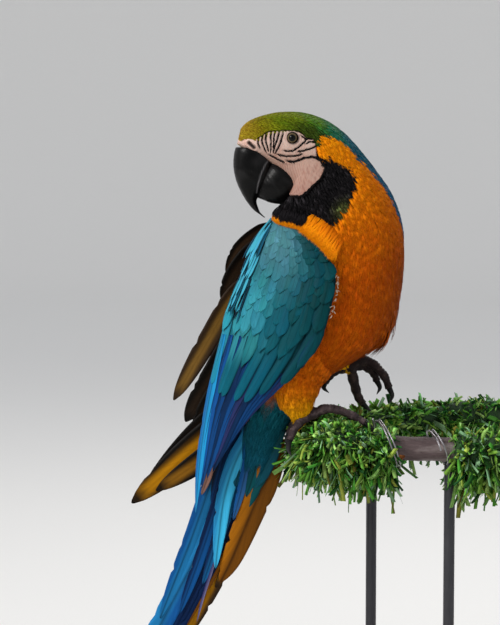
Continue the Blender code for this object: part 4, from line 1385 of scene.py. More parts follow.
# Each course: tips as (s, t), count, length, width, height of root and of tip, unevenness, painted rim shade.
NEAR_COURSES = [
    ([(0, 0.62), (0.1, 0.65), (0.25, 0.668), (0.42, 0.681), (0.53, 0.6875), (0.7, 0.67), (0.9, 0.652),
      (1, 0.64)],
     7, 88, 14.5, 0.2, 2.0, 0.06, 0.62),
    ([(0, 0.585), (0.15, 0.58), (0.37, 0.53), (0.65, 0.545), (0.8, 0.48), (1, 0.45)],
     9, 58, 15.5, 0.6, 2.7, 0.16, 0.36),
    ([(0, 0.49), (0.3, 0.45), (0.5, 0.475), (0.7, 0.45), (0.9, 0.40), (1, 0.38)],
     10, 46, 14.5, 0.9, 2.9, 0.18, 0.28),
]
for n, level in enumerate(np.arange(0.385, 0.08, -0.042)):
    tips = [(0, level - 0.01), (0.5, level + 0.01), (1, level - 0.01)]
    NEAR_COURSES.append((tips, 12 + 2 * (n < 3), 27 - 1.3 * n, 13.0 - 0.7 * n, 1.0, 2.5 - 0.13 * n, 0.24,
                         0.16))
print("near wing:", [row[1] for row in NEAR_COURSES], "coverts in its courses")


# %% The lining and the feathers of a course
# A seed that leaves a feather's colour as it is painted.
PLAIN = np.array([0.5])


def lining(coat, form, painted, reach):
    """A sheet under the coverts, so that no daylight passes between them, with a golden underside."""
    sheet = vane_pattern(40, 21, np.ones_like, 3, notches=0)
    s, t = 0.5 + 0.46 * sheet.across, 0.01 + reach * sheet.along
    point, out = form.at(s, t)
    scallops = 0.5 + 0.5 * np.sin(55 * t + 2.5 * np.abs(np.sin(11 * s)))
    inner = mix(paint(92, 66, 22), paint(150, 108, 18), scallops[:, None])
    # Its upper face is half the wing's colour: painted shade under the coverts.
    coat.put((point + out * (sheet.points[:, 2:3] - 1.2))[None], sheet, 0.5 * painted(s, t),
             inner[sheet.under], seed=PLAIN)


def lay_course(coat, form, painted, deck, feathers, low, high, lifts, arch, tints, rim, power, under,
               turned=0.0):
    """The coverts of one course, each tinted a little differently, with painted shade at its rim."""
    s, t_tip, t_root, heading, long, broad = feathers
    for k in range(len(s)):
        pattern = deck[int(chance.integers(0, len(deck)))]
        one = slice(k, k + 1)
        points = lay(form, s[one], t_root[one], heading[one], long[one], broad[one], pattern, low,
                     high + chance.uniform(*lifts), arch=arch, power=1.2)
        colour = painted(np.clip(s[k] + turned * pattern.across, 0, 1),
                         mix(t_root[k], t_tip[k], pattern.along))
        # Painted shade at the feather's edges, where it meets its neighbours.
        colour = colour * chance.uniform(*tints) * (1 - rim * np.abs(pattern.across) ** power)[:, None]
        coat.put(points, pattern, colour, under)


# %% Near coverts
SCAPULARS = 60
COVERT_FEATHER = feather_material("covert_feather", barbs=40.0, slant=0.45, root=0.26, edge=0.08, spread=0.35,
                                  rough=0.52, relief=0.14, contrast=0.55)
UNDER_NEAR = paint(70, 62, 40)
coat = VaneCoat(sum(c[1] for c in NEAR_COURSES) + SCAPULARS + 2)
lining(coat, NEAR_WING, near_paint, 0.60)
for number, (tips, count, size, wide, low, high, uneven, rim) in enumerate(NEAR_COURSES):
    deck, drift, splay = (COVERTS, 0.018, 3.5) if number else (GREATER, 0.006, 1.2)
    feathers = course(NEAR_WING, tips, count, size, wide, (0.105, 0.99), drift, uneven, splay)
    lay_course(coat, NEAR_WING, near_paint, deck, feathers, low, high, (-0.2, 0.35), 0.085, (0.76, 1.02), rim,
               5, UNDER_NEAR, 0.05)

# %% Narrow scapulars down the wing's back edge
for k in range(SCAPULARS):
    bright = k % 4 == 0
    pattern = COVERTS[k % len(COVERTS)]
    s0, t0 = np.array([chance.uniform(0.84, 1.03)]), np.array([0.01 + 0.32 * (k / SCAPULARS)])
    heading = splayed(NEAR_WING, s0, t0, unit(NEAR_WING.read(NEAR_WING.by_t, s0, t0)), 3.0)
    long, wide = np.array([chance.uniform(24, 38)]), np.array([chance.uniform(2.2, 3.8)])
    points = lay(NEAR_WING, s0, t0, heading, long, wide, pattern, 2.0, 4.9 if bright else 3.5, arch=0.10)
    tint = paint(66, 166, 190) if bright else mix(paint(12, 88, 110), paint(2, 26, 40), chance.random())
    # Painted shade at each scapular's edges.
    coat.put(points, pattern, tint * (1 - 0.6 * np.abs(pattern.across) ** 4)[:, None], UNDER_NEAR)
coat.make("near_wing_coverts", COVERT_FEATHER, "wing_coverts", "wing_right_coverts")

# %% [markdown]
# ## Soft feathers over the shoulder
# On the bird the neck's long feathers hang over the front and the top of the folded wing,
# so that no edge shows. They are rooted on the body and raised, near the wing's rim, by as
# much as the wing stands out. Black feathers of the bib hang over them in turn.

# %% Rise onto the wing, and paint
FRINGE_PAINT = paint(250, 146, 7)
WING_RIM = np.vstack([NEAR_WING.at(np.linspace(0.5, 0, 8), np.zeros(8))[0],
                      NEAR_WING.at(np.zeros(8), np.linspace(0.03, 0.3, 8))[0]])[:, (0, 2)]


def onto_wing(points):
    """How far feathers must rise from the body to run up onto the wing's rim."""
    x, z = points[..., 0], points[..., 2]
    over = distance_to(WING_RIM, x, z) * np.where(beneath(NEAR_WING_ROWS, (0, 2), (3, 5), 0.01, x, z), 1, -1)
    return 7.4 * ease(over, -20, 0) + 0.6 * np.clip(over, 0, 8)


def neck_paint(a, t, pattern):
    """The colour of the neck at the root, brighter towards the tip."""
    local, stripe, bib = plumage(a, t, *BODY.at(a, t)[0].T)
    local = np.where((stripe | bib)[:, None], FRINGE_PAINT, local)
    return mix(local[:, None], FRINGE_PAINT, ease(pattern.along, 0.15, 0.95)[None, :, None])


def bib_paint(a, t, pattern):
    return np.broadcast_to(1.4 * BLACK, (len(a), len(pattern.along), 3))


# %% Feathers that drape
def drape(coat, s, t, heading, set_back, long, lift, painted):
    """Soft feathers rooted on the body that hang towards the wing's rim at (s, t)."""
    root = NEAR_WING.at(s, t)[0] - unit(heading) * set_back[:, None]
    in_bib = inside(BIB, root[:, 0], root[:, 2] - np.where(t > 0, 0.0, 6.0)) & (painted is neck_paint)
    a, t = nearest_places(BODY, root, 2)
    heading = heading + chance.normal(0, 0.16, heading.shape)
    deal = chance.integers(0, len(SOFT), len(a))
    for number, pattern in enumerate(SOFT):
        use = (deal == number) & ~in_bib
        points = lay(BODY, a[use], t[use], heading[use], long[use], 1.5 + 0.16 * long[use], pattern,
                     lift - 1.2, lift + chance.uniform(0, 0.8, use.sum()), arch=0.035, power=0.7)
        points = points + BODY.at(a[use], t[use])[1][:, None] * onto_wing(points)[..., None]
        shade = painted(a[use], t[use], pattern) * chance.uniform(0.94, 1.04, (use.sum(), 1, 1))
        coat.add(points, pattern, shade.clip(0, 1), on_bake_map(a[use], t[use]))


# The neck's feathers hang over the front and top edges, and black ones from the bib over those.
DRAPED, BLACK_DRAPED, DOWN = 1400, 220, 32
FRONT_SHARE = 0.62
OVER_FRONT, OVER_TOP = (-0.55, -0.2, -0.8), (-0.15, -0.3, -1.0)
fringe = Coat()
share = np.sort(chance.random(DRAPED))
front = share < FRONT_SHARE
heading = np.where(front[:, None], OVER_FRONT, OVER_TOP)
set_back = np.where(front, chance.uniform(3, 20, DRAPED), chance.uniform(2, 11, DRAPED))
long = set_back + chance.uniform(0.5, 5.0, DRAPED) * np.where(front, 1.0, 0.6)
s = np.where(front, 0.0, (share - FRONT_SHARE) / 0.40)
t = np.where(front, 0.17 * (share / FRONT_SHARE) ** 0.9, 0.0)
drape(fringe, s, t, heading, set_back, long, 0.2, neck_paint)
s = chance.uniform(-0.1, 0.95, BLACK_DRAPED)
set_back, long = chance.uniform(9, 14, BLACK_DRAPED), chance.uniform(6, 9.5, BLACK_DRAPED)
drape(fringe, s, 0.0 * s, np.tile(OVER_TOP, (BLACK_DRAPED, 1)), set_back, long, 1.5, bib_paint)

# %% White down lower on the wing's front edge
s0, t0 = chance.uniform(0.015, 0.03, DOWN), chance.uniform(0.25, 0.42, DOWN)
heading = splayed(NEAR_WING, s0, t0, unit(NEAR_WING.read(NEAR_WING.by_t, s0, t0)), 30.0)
points = lay(NEAR_WING, s0, t0, heading, chance.uniform(1.8, 3.8, DOWN), chance.uniform(0.6, 1.0, DOWN),
             BRISTLE, 0.6, 2.2)
fringe.add(points, BRISTLE, np.tile(paint(176, 164, 148), (DOWN, 1)), np.tile((0.4, 0.3), (DOWN, 1)))
fringe.make("coat_shoulder", SOFT_FEATHER, "feather_coat")

# %% [markdown]
# ## Flight feathers of the near wing
# Primaries and secondaries lie folded under the coverts like a closed fan, blue above and
# golden below. Each is a long vane whose shaft runs over the wing's sheet, stacked by a
# fraction of a millimetre so that the innermost lies on top.


# %% Long feathers over a form, and their paints
def lay_quill(form, s_line, t_line, width, pattern, lift):
    """One long feather whose shaft follows (s, t) over a form."""
    u, v, h = pattern.points.T
    s, t = np.interp(u, *s_line), np.interp(u, *t_line)
    stretch = np.linalg.norm(form.read(form.by_a, s, t), axis=-1)
    point, out = form.at(s + v * width / np.maximum(stretch, 25.0), t)
    return (point + out * (lift + h)[:, None])[None]


FLIGHT_FEATHER = feather_material("flight_feather", barbs=90.0, slant=0.16, root=0.12, edge=0.10, spread=0.25,
                                  rough=0.44, relief=0.16, contrast=0.5)
GOLD, GOLD_DARK = paint(168, 112, 18), paint(40, 28, 8)


def quill_paint(pattern, outer, inner):
    """Blue on the outer vane, darker on the inner one, with a black shaft."""
    colour = mix(outer, inner, ease(pattern.across, -0.05, 0.55)[:, None])
    return colour * (1 - 0.55 * np.exp(-(pattern.across / 0.10) ** 2))[:, None]


def gold_paint(pattern, middle=GOLD, edge=GOLD_DARK):
    """The underside: golden along the shaft and smoky at the edges and the tip."""
    shade = np.maximum(ease(np.abs(pattern.across), 0.12, 0.62), ease(pattern.along, 0.88, 0.98))
    return mix(middle, edge, shade[:, None])


# %% Primaries and secondaries
def near_flight(name, quills, node):
    coat = VaneCoat(len(quills), 8)
    for k, (s, tip, root, width, lift, outer, inner) in enumerate(quills):
        pattern = QUILLS[k % len(QUILLS)]
        bend = 0.03 * math.sin(3.0 * k) + 0.8 * max(0.0, 0.45 - s)
        points = lay_quill(NEAR_WING, ([0, 0.5, 1], [s, s + bend * 0.3, s + bend]), ([0, 1], [root, tip]),
                           width, pattern, lift)
        coat.put(points, pattern, quill_paint(pattern, outer, inner), gold_paint(pattern)[pattern.under],
                 seed=PLAIN)
    coat.make(name, FLIGHT_FEATHER, "flight_feathers", node)


BRIGHT, ROYAL, NAVY, INK, LILAC = paints((28, 136, 190), (12, 74, 138), (6, 36, 72), (4, 14, 28),
                                         (50, 48, 98))
primaries = [(s, tip, 0.47, 16, -2.4 + 0.33 * k, mix(LILAC if k == 1 else ROYAL, NAVY, 0.6), INK)
             for k, (s, tip) in enumerate([(0.09, 0.83), (0.14, 0.87), (0.21, 0.885), (0.28, 0.90),
                                           (0.36, 0.905)])]
secondaries = [(s, tip, 0.47, wide, -0.7 + 0.28 * k, outer, inner)
               for k, (s, tip, wide, outer, inner) in enumerate([
    (0.44, 0.915, 17, NAVY, INK), (0.53, 0.90, 17, mix(LILAC, NAVY, 0.5), INK),
    (0.62, 0.925, 16, mix(ROYAL, NAVY, 0.4), INK), (0.71, 0.915, 16, NAVY, INK),
    (0.80, 0.945, 15, mix(ROYAL, NAVY, 0.5), INK), (0.91, 0.965, 15, ROYAL, NAVY),
    (1.0, 1.0, 15, BRIGHT, mix(BRIGHT, ROYAL, 0.7))])]
near_flight("near_wing_primaries", primaries, "wing_right_primaries")
near_flight("near_wing_secondaries", secondaries, "wing_right_secondaries")

# %% [markdown]
# ## The far wing
# The far wing droops behind the body. Its long feathers show their undersides to the near
# side, smoky brown with golden shafts, and their blue tops to the far side. Each one
# follows its own path on a gently curved sheet, a layer below the one above it.

# %% Paths and layers of the far wing's long feathers
def far_side(x, z):
    """How far out, along +Y, the drooping far wing lies at x and z."""
    across = 72 - 24 * (1 - np.exp(-((x + 20) / 90) ** 2))
    return across - 15 * np.maximum(0.0, (z - 605) / 70) ** 2


FAR_LAYER = 1.7
UMBER, OLIVE_BROWN, AMBER, SMOKE = paints((58, 42, 28), (122, 90, 38), (176, 118, 6), (14, 11, 8))
# Width, path from root to tip as x and z, and the underside's middle and edge.
FAR_QUILLS = {
    "tertial_1": (15, [(-76, 664), (-100, 656), (-121, 638), (-134, 612)], UMBER, SMOKE),
    "tertial_2": (21, [(-80, 648), (-106, 636), (-125, 612), (-138, 584)], mix(UMBER, SMOKE, 0.5), SMOKE),
    "secondary_1": (21, [(-84, 622), (-124, 592), (-153, 545), (-188, 484)], OLIVE_BROWN,
                    mix(UMBER, SMOKE, 0.4)),
    "secondary_2": (25, [(-70, 600), (-116, 560), (-150, 505), (-176, 462)], mix(UMBER, SMOKE, 0.6), SMOKE),
    "secondary_3": (25, [(-60, 585), (-112, 535), (-146, 485), (-168, 446)], UMBER, SMOKE),
    "primary_3": (22, [(-45, 560), (-110, 500), (-160, 457), (-214, 402)], mix(UMBER, SMOKE, 0.5), SMOKE),
    "primary_2": (33, [(-38, 545), (-106, 484), (-166, 436), (-231, 379)], AMBER, SMOKE),
    "primary_1": (25, [(-32, 530), (-98, 470), (-150, 430), (-206, 392)], mix(AMBER, UMBER, 0.5), SMOKE),
}


def ribbon(path, pattern, width):
    """A long feather's middle line and its corners, both as x and z, along a path."""
    u, v, _ = pattern.points.T
    line = curve_through(path, u)
    step = unit(curve_through(path, np.clip(u + 0.01, 0, 1)) - curve_through(path, np.clip(u - 0.01, 0, 1)))
    return line, line + np.stack([step[:, 1], -step[:, 0]], -1) * (v * width)[:, None]


def one_quill(name, points, pattern, colours, under, material, slot, node):
    """A piece that is one long feather, spread over the whole bake map."""
    coat = Coat()
    coat.add(points[None], pattern, colours[None], np.array([[0.5, 0.5]]), seed=PLAIN,
             under=under[pattern.under], cell=(0.96, 0.96))
    coat.make(name, material, slot, node)


# %% Far quills
FAR_TOP = mix(ROYAL, BRIGHT, 0.3)
for layer, (name, (width, path, middle, edge)) in enumerate(FAR_QUILLS.items()):
    pattern = (ROUND_QUILLS if layer < 5 else QUILLS)[layer % 3]
    _, v, h = pattern.points.T
    x, z = ribbon(path, pattern, width)[1].T
    y = far_side(x, z) - 1.0 - FAR_LAYER * layer + h - 0.06 * width * (2 * v) ** 2
    one_quill("far_wing_" + name, np.stack([x, y, z], -1), pattern, quill_paint(pattern, FAR_TOP, NAVY),
              gold_paint(pattern, middle, edge), FLIGHT_FEATHER, "flight_feathers", "wing_left_" + name)

# %% [markdown]
# ## Coverts of the far wing
# From behind, the far wing shows its blue upper side. Its coverts are laid like those of
# the near wing, with fewer courses, on a sheet that droops with the long feathers.


# %% The sheet and the courses of the far wing
def far_sheet(along=61, across=41):
    table = curve_through(FAR_WING_ROWS, np.linspace(0, 1, along))[:, None]
    s = np.linspace(0, 1, across)[None, :, None]
    xz = mix(table[..., :2], table[..., 2:4], s)
    return np.stack([xz[..., 0], far_side(xz[..., 0], xz[..., 1]), xz[..., 1]], -1)


FAR_WING = Form(far_sheet(), closed=False, outward=HEART)


def far_paint(s, t):
    colour = mix(paint(30, 140, 168), paint(20, 118, 190), ease(t, 0.4, 1.0)[..., None])
    return mix(colour, paint(12, 104, 112), 0.7 * ease(s, 0.35, 0.05)[..., None])


# Each course: tips as (s, t), count, length, width, height of root and of tip.
FAR_COURSES = [([(0, 0.92), (0.5, 1.02), (1, 0.97)], 11, 66, 17, 0.2, 1.4),
               ([(0, 0.74), (0.5, 0.80), (1, 0.78)], 12, 44, 15, 0.5, 1.9),
               ([(0, 0.60), (0.5, 0.66), (1, 0.64)], 12, 36, 14, 0.7, 2.2)]
FAR_COURSES += [([(0, level), (1, level)], 12, 24 - n, 12 - 0.5 * n, 0.8, 2.3)
                for n, level in enumerate(np.arange(0.54, 0.05, -0.068))]
coat = VaneCoat(1 + sum(c[1] for c in FAR_COURSES))
lining(coat, FAR_WING, far_paint, 0.76)
for tips, count, size, wide, low, high in FAR_COURSES:
    lay_course(coat, FAR_WING, far_paint, COVERTS, course(FAR_WING, tips, count, size, wide), low, high,
               (-0.2, 0.3), 0.075, (0.8, 1.2), 0.42, 6, paint(96, 74, 20))
coat.make("far_wing_coverts", COVERT_FEATHER, "wing_coverts", "wing_left_coverts")

# %% [markdown]
# ## The tail
# Twelve long feathers are folded like a roof along a ridge. The middle pair lies on top
# and is the longest; each next one lies a little lower and further out. Blades of blue
# and gold are real vanes again, and soft blue coverts hide where they leave the body.

# %% Places on the folded tail
TAIL_ROOT = np.array((-104.5, 3.0, 451.0))
TAIL_TILT = math.radians(27.0)
TAIL_RECEDE = 0.10
TAIL_FEATHERS = [(454, 23), (438, 23), (384, 23), (314, 22), (239, 21), (164, 19)]
# Side, lean, place of the first feather, step to the next, and how far below the ridge it starts.
NEAR_HALF = (1, math.radians(16), 2.5, 4.2, 0.0)
FAR_HALF = (-1, math.radians(24), 14.5, 4.6, 3.2)
TAIL_LAYER = 0.95


def tail_place(half, distance, across, depth):
    """Points of one half of the roof: down its length, across its slope and under its top."""
    side, lean, _, _, start = half
    along = unit(np.array((-math.sin(TAIL_TILT), TAIL_RECEDE, -math.cos(TAIL_TILT))))
    back = np.array((-math.cos(TAIL_TILT), 0.0, math.sin(TAIL_TILT)))
    near = unit(np.cross(along, back))
    near = near if near[1] < 0 else -near
    slope = -back * math.cos(lean) + near * side * math.sin(lean)
    outward = back * math.sin(lean) + near * side * math.cos(lean)
    return (TAIL_ROOT - near * start + along * distance[:, None] + slope * across[:, None]
            - outward * depth[:, None])


# %% Tail quills
TAIL_FEATHER = feather_material("tail_feather", barbs=170.0, slant=0.08, root=0.05, edge=0.10, spread=0.2,
                                rough=0.42, relief=0.16, contrast=0.5)
CYAN, SKY, TAIL_BLUE, TAIL_NAVY = paints((62, 182, 228), (28, 112, 166), (14, 78, 140), (6, 30, 68))
TAIL_GOLD, TAIL_BROWN, TEAL_DARK = paints((156, 94, 8), (106, 62, 8), (6, 76, 84))
# Upper faces from the middle pair outwards: outer vane and inner vane.
TAIL_PAINTS = [(SKY, TAIL_BLUE), (mix(SKY, CYAN, 0.4), TAIL_NAVY), (TAIL_BLUE, TAIL_NAVY), (SKY, TAIL_NAVY),
               (TAIL_GOLD, TAIL_BROWN), (TAIL_GOLD, TAIL_BROWN)]
TAIL_QUILLS = vanes(range(20, 24), 56, 9, tapered, notches=7, ridge=0.7, round_tip=0.006)
for side, half, shorter in (("right", NEAR_HALF, 1.0), ("left", FAR_HALF, 0.99)):
    for number, (long, wide) in enumerate(TAIL_FEATHERS):
        pattern = TAIL_QUILLS[(number + (side == "left")) % len(TAIL_QUILLS)]
        u, v, h = pattern.points.T
        down = u * long * shorter
        middle = (half[2] + half[3] * number) * (0.6 + 0.4 * np.minimum(1.0, down / 120.0))
        droop = 0.035 * wide * (2 * v) ** 2
        points = tail_place(half, down, middle + v * wide, TAIL_LAYER * number - h + droop)
        one_quill(f"tail_{side}_vane_{number + 1}", points, pattern,
                  quill_paint(pattern, *TAIL_PAINTS[number]),
                  gold_paint(pattern, AMBER, UMBER), TAIL_FEATHER, "tail_feathers",
                  f"tail_{side}_{number + 1}")

# %% [markdown]
# ## Tail coverts
# Soft teal coverts hide where the long feathers leave the body. Below them a few longest
# coverts and loose feathers go their own ways, and their uneven lie makes the tail look
# like feathers, not like a blade. Each of these follows a given path.

# %% Short coverts in rows down both halves of the tail
TAIL_COVERTS = 84
coat = VaneCoat(TAIL_COVERTS)
for k in range(TAIL_COVERTS):
    half = NEAR_HALF if k % 2 == 0 else FAR_HALF
    level = 1 - (k // 2) / (TAIL_COVERTS // 2)
    pattern = COVERTS[k % len(COVERTS)]
    u, v, h = pattern.points.T
    long, wide = 28 + 42 * level, 8 + 6 * level
    start = -30 + 34 * level + chance.uniform(-4, 4)
    centre = chance.uniform(-3, 30) * (0.75 + 0.25 * level)
    lift = 2.2 + 3.6 * (1 - level) + 0.3 * (k % 3)
    depth = -lift * (1 - 0.45 * u) - h + 0.07 * wide * (2 * v) ** 2
    points = tail_place(half, start + u * long, centre + v * wide, depth)[None]
    tint = mix(paint(20, 112, 136), TEAL_DARK, ease(centre, 4, 18))
    tint = mix(tint, paint(8, 50, 72), chance.random() * 0.5) * chance.uniform(0.85, 1.2)
    # Painted shade at each covert's edges.
    coat.put(points, pattern, tint * (1 - 0.4 * np.abs(pattern.across) ** 4)[:, None], paint(80, 60, 16))

# %% The longest coverts and the loose feathers beside the tail
# Width, path from root to tip as x and z, distance in front of the tail, outer and inner colour.
STREAMERS = [
    (31, [(-82, 452), (-88, 424), (-102, 392), (-116, 358), (-129, 326), (-140, 303)], 1.0, TAIL_BROWN,
     TAIL_GOLD),
    (19, [(-134, 452), (-145, 420), (-155, 388), (-168, 350), (-181, 316), (-192, 288), (-202, 262)], 1.5,
     SKY, TAIL_BLUE),
    (15, [(-124, 440), (-134, 410), (-146, 372), (-159, 332), (-172, 296), (-182, 268)], 2.6, TAIL_BLUE,
     TAIL_NAVY),
    (16, [(-118, 436), (-126, 404), (-137, 366), (-148, 330), (-158, 300)], 2.0, mix(TAIL_BLUE, SKY, 0.5),
     TAIL_NAVY),
    (15, [(-92, 478), (-98, 450), (-105, 420), (-114, 392)], 4.4, TEAL_DARK, mix(TEAL_DARK, INK, 0.4)),
    (19, [(-100, 480), (-111, 452), (-119, 426), (-125, 402)], 5.2, mix(TEAL_DARK, SKY, 0.25), TEAL_DARK),
    (11, [(-106, 462), (-112, 430), (-119, 398), (-127, 368)], 6.2, mix(SKY, LILAC, 0.5), TAIL_BLUE),
    (10, [(-141, 448), (-150, 418), (-159, 392)], 5.0, paint(140, 104, 92), paint(84, 62, 58)),
    (20, [(-96, 490), (-110, 458), (-126, 424), (-136, 390), (-141, 354), (-145, 318)], 7.4,
     CYAN, mix(CYAN, SKY, 0.85)),
    (17, [(-106, 500), (-122, 466), (-135, 434), (-142, 410), (-149, 384)], 4.0,
     mix(TAIL_BLUE, TAIL_NAVY, 0.6), INK),
    (3.5, [(-144, 330), (-150, 312), (-158, 286), (-164, 262)], 7.0, paint(112, 110, 150), LILAC),
]
long_pattern = vane_pattern(40, 9, lambda u: tapered(u) * (1.08 - 0.42 * u), 31, notches=5, depth=0.2,
                            ridge=0.6, round_tip=0.01)
_, v, h = long_pattern.points.T
for number, (width, path, before, outer, inner) in enumerate(STREAMERS):
    line, (x, z) = (part.T for part in ribbon(path, long_pattern, width))
    below = TAIL_ROOT[2] - line[1]
    beyond = line[0] - TAIL_ROOT[0] + math.tan(TAIL_TILT) * below
    y = TAIL_ROOT[1] + TAIL_RECEDE * below / math.cos(TAIL_TILT) - 0.28 * beyond - before - h
    y = y + 0.10 * width * v**2
    coat.add(np.stack([x, y, z], -1)[None], long_pattern, quill_paint(long_pattern, outer, inner)[None],
             np.array([[0.02 + 0.06 * number, 0.97]]), seed=PLAIN, under=paint(120, 84, 14),
             cell=(0.05, 0.05))
coat.make("tail_coverts", COVERT_FEATHER, "tail_feathers")

# %% [markdown]
# ## Thighs and feet
# The thighs wear soft trousers of the brightest orange. A parrot's foot has two toes in
# front and two behind, covered with scales: broad scutes along the top and small pebbles
# at the sides. The toes are tubes that run into each other, so they are remeshed into one
# skin, and the scutes are raised along each toe's own length.

# %% Trousers
for side in THIGHS:
    form = thigh_form(side)
    down = np.linspace(0, 1, form.rows)
    a, t = scatter(form, np.repeat(np.interp(down, [0, 0.5, 1], [3.0, 2.6, 2.0])[:, None], form.columns, 1))
    spots = form.at(a, t)[0]
    surface, away = BODY.at(*nearest_places(BODY, spots))
    outside = dot(spots - surface, away)[:, 0] > -4.0
    a, t = a[outside], t[outside]
    count = len(a)
    heading = splayed(form, a, t, unit(form.read(form.by_t, a, t)), 7.0)
    length = np.interp(t, [0, 0.6, 1], [22, 17, 9]) * chance.uniform(0.85, 1.2, count)
    shade = mix(paint(206, 98, 4), paint(255, 188, 16), ease(t, 0.12, 0.78)[:, None])
    shade = (shade * (1 + 0.05 * chance.standard_normal((count, 1)))).clip(0, 1)
    coat, deal = Coat(), chance.integers(0, len(SOFT), count)
    for number, pattern in enumerate(SOFT):
        use = deal == number
        points = lay(form, a[use], t[use], heading[use], length[use], 0.42 * length[use], pattern, -3.0,
                     np.abs(chance.normal(0, 0.4, use.sum())), arch=0.035, power=0.8)
        coat.add(points, pattern, shade[use], on_bake_map(a[use], t[use]))
    coat.make("coat_thigh_" + side, SOFT_FEATHER, "feather_coat")

# %% [markdown]
# ## Toes, scutes and claws
# Tubes along given paths give each toe its bend round the branch. A voxel remesh
# melts them and the shank into one skin, and every corner then finds its place along its
# toe, so that scutes can cross the top in even steps and pebbles fill the sides.

# %% Paths of the legs and their skins
LEGS = {
    "right": {
        "shank": [(-57, -28, 486), (-52, -29, 483), (-46, -30, 481)],
        "toes": [
            [(-46, -30, 481), (-35, -33, 486), (-22, -35, 485), (-8, -37, 480), (4, -38, 473), (12, -38, 465),
             (14, -38, 456)],
            [(-46, -28, 481), (-34, -22, 485), (-20, -17, 482), (-8, -14, 475), (-1, -13, 467),
             (1, -13, 459)],
            [(-46, -31, 481), (-57, -37, 476), (-66, -43, 467), (-71, -47, 457), (-72, -48, 448),
             (-69, -48, 441)],
            [(-46, -28, 481), (-57, -23, 478), (-66, -20, 470), (-71, -18, 460), (-73, -18, 451),
             (-70, -18, 444)],
        ]},
    "left": {
        "shank": [(-20, 31, 528), (-14, 31, 523), (-8, 31, 520)],
        "toes": [
            [(-8, 30, 520), (4, 29, 527), (16, 28, 522), (26, 27, 511), (31, 26, 499), (34, 26, 491),
             (31, 26, 483)],
            [(-8, 32, 520), (5, 35, 521), (15, 37, 514), (19, 37, 505), (22, 37, 498), (19, 37, 491)],
            [(-8, 32, 520), (-4, 37, 503), (0, 40, 489), (5, 41, 481), (9, 41, 477), (14, 41, 473)],
            [(-8, 30, 520), (-20, 28, 518), (-28, 27, 513), (-34, 27, 505), (-35, 27, 499), (-30, 27, 494)],
        ]},
}
TOE_RADIUS = {"right": 4.9, "left": 5.7}
TOE_STEPS, CLAW_STEPS, CLAW_SIDES = 60, 26, 24
CLAW_RADIUS = 3.1
SCUTE = 2.9
FOOT_SKIN = {
    "right": grained_material("foot_skin_grey", (58, 46, 48), (98, 82, 82), (24, 18, 18), 620.0, 150.0, 0.60,
                              0.5, contrast=0.85, Specular_IOR_Level=0.15),
    # The far foot is the same skin painted darker: painted shade.
    "left": grained_material("foot_skin_painted_shade", (44, 34, 34), (84, 68, 62), (18, 13, 14), 620.0, 90.0, 0.60,
                             0.5, contrast=0.8, Specular_IOR_Level=0.15),
}
CLAW_HORN = horn_material("claw_horn", 0.30)


def toe_path(side, toe):
    return curve_through(LEGS[side]["toes"][toe][:-2], np.linspace(0, 1, TOE_STEPS))


def toe_radius(side, share):
    return TOE_RADIUS[side] * (1.0 - 0.36 * share + 0.07 * np.cos(8 * math.pi * share))


print("toes, mm:", {side: [round(float(np.linalg.norm(np.diff(toe_path(side, toe), axis=0), axis=1).sum()))
                           for toe in range(4)] for side in LEGS})


# %% One skin from five tubes
def foot_core(side, lines):
    """The shank and the toes melted into one smooth skin."""
    shank = curve_through(LEGS[side]["shank"], np.linspace(0, 1, 16))
    radii = toe_radius(side, np.linspace(0, 1, TOE_STEPS))
    parts = [closed_mesh("shank", tube_grid(shank, np.linspace(6.0, 6.2, 16), 32), FOOT_SKIN[side])]
    parts += [closed_mesh("toe", tube_grid(line, radii, 32), FOOT_SKIN[side]) for line in lines]
    bpy.ops.object.select_all(action="DESELECT")
    for part in parts:
        part.select_set(True)
    bpy.context.view_layer.objects.active = foot = parts[0]
    bpy.ops.object.join()
    foot.name = "scaly_foot_" + side
    remesh = foot.modifiers.new("remesh", "REMESH")
    remesh.mode, remesh.voxel_size = "VOXEL", 0.62 * MM
    smooth = foot.modifiers.new("smooth", "SMOOTH")
    smooth.iterations = 4
    apply_modifiers(foot)
    return foot


# %% Scutes and pebbles
def scale_foot(foot, side, lines):
    """Raises scutes across the top of each toe and pebbles at its sides."""
    middles = np.vstack(lines)
    spots, normals = coordinates(foot) / MM, coordinates(foot, "normal")
    nearest = nearest_in(search_tree(middles), spots)
    lengths = np.array([np.linalg.norm(np.diff(line, axis=0), axis=1).sum() for line in lines])
    run = nearest % TOE_STEPS / (TOE_STEPS - 1) * lengths[nearest // TOE_STEPS] / SCUTE
    plate = ease(unit(spots - middles[nearest])[:, 2], 0.05, 0.45)
    scute = np.abs(np.sin(np.pi * run)) ** 0.5 - 0.7
    pebble = np.sin(run * 2 * np.pi + 2 * np.sin(spots[:, 1] * 1.9))
    pebble = pebble * np.sin(spots[:, 2] * 2.9 + spots[:, 0] * 0.8)
    rise = plate * 1.05 * scute + (1 - plate) * 0.42 * pebble
    foot.data.vertices.foreach_set("co", ((spots + normals * rise[:, None]) * MM).astype(np.float32).ravel())
    foot.data.update()
    foot.data.materials.clear()
    foot.data.materials.append(FOOT_SKIN[side])
    foot.data.shade_smooth()
    settle(foot, "foot_skin", "foot_" + side)


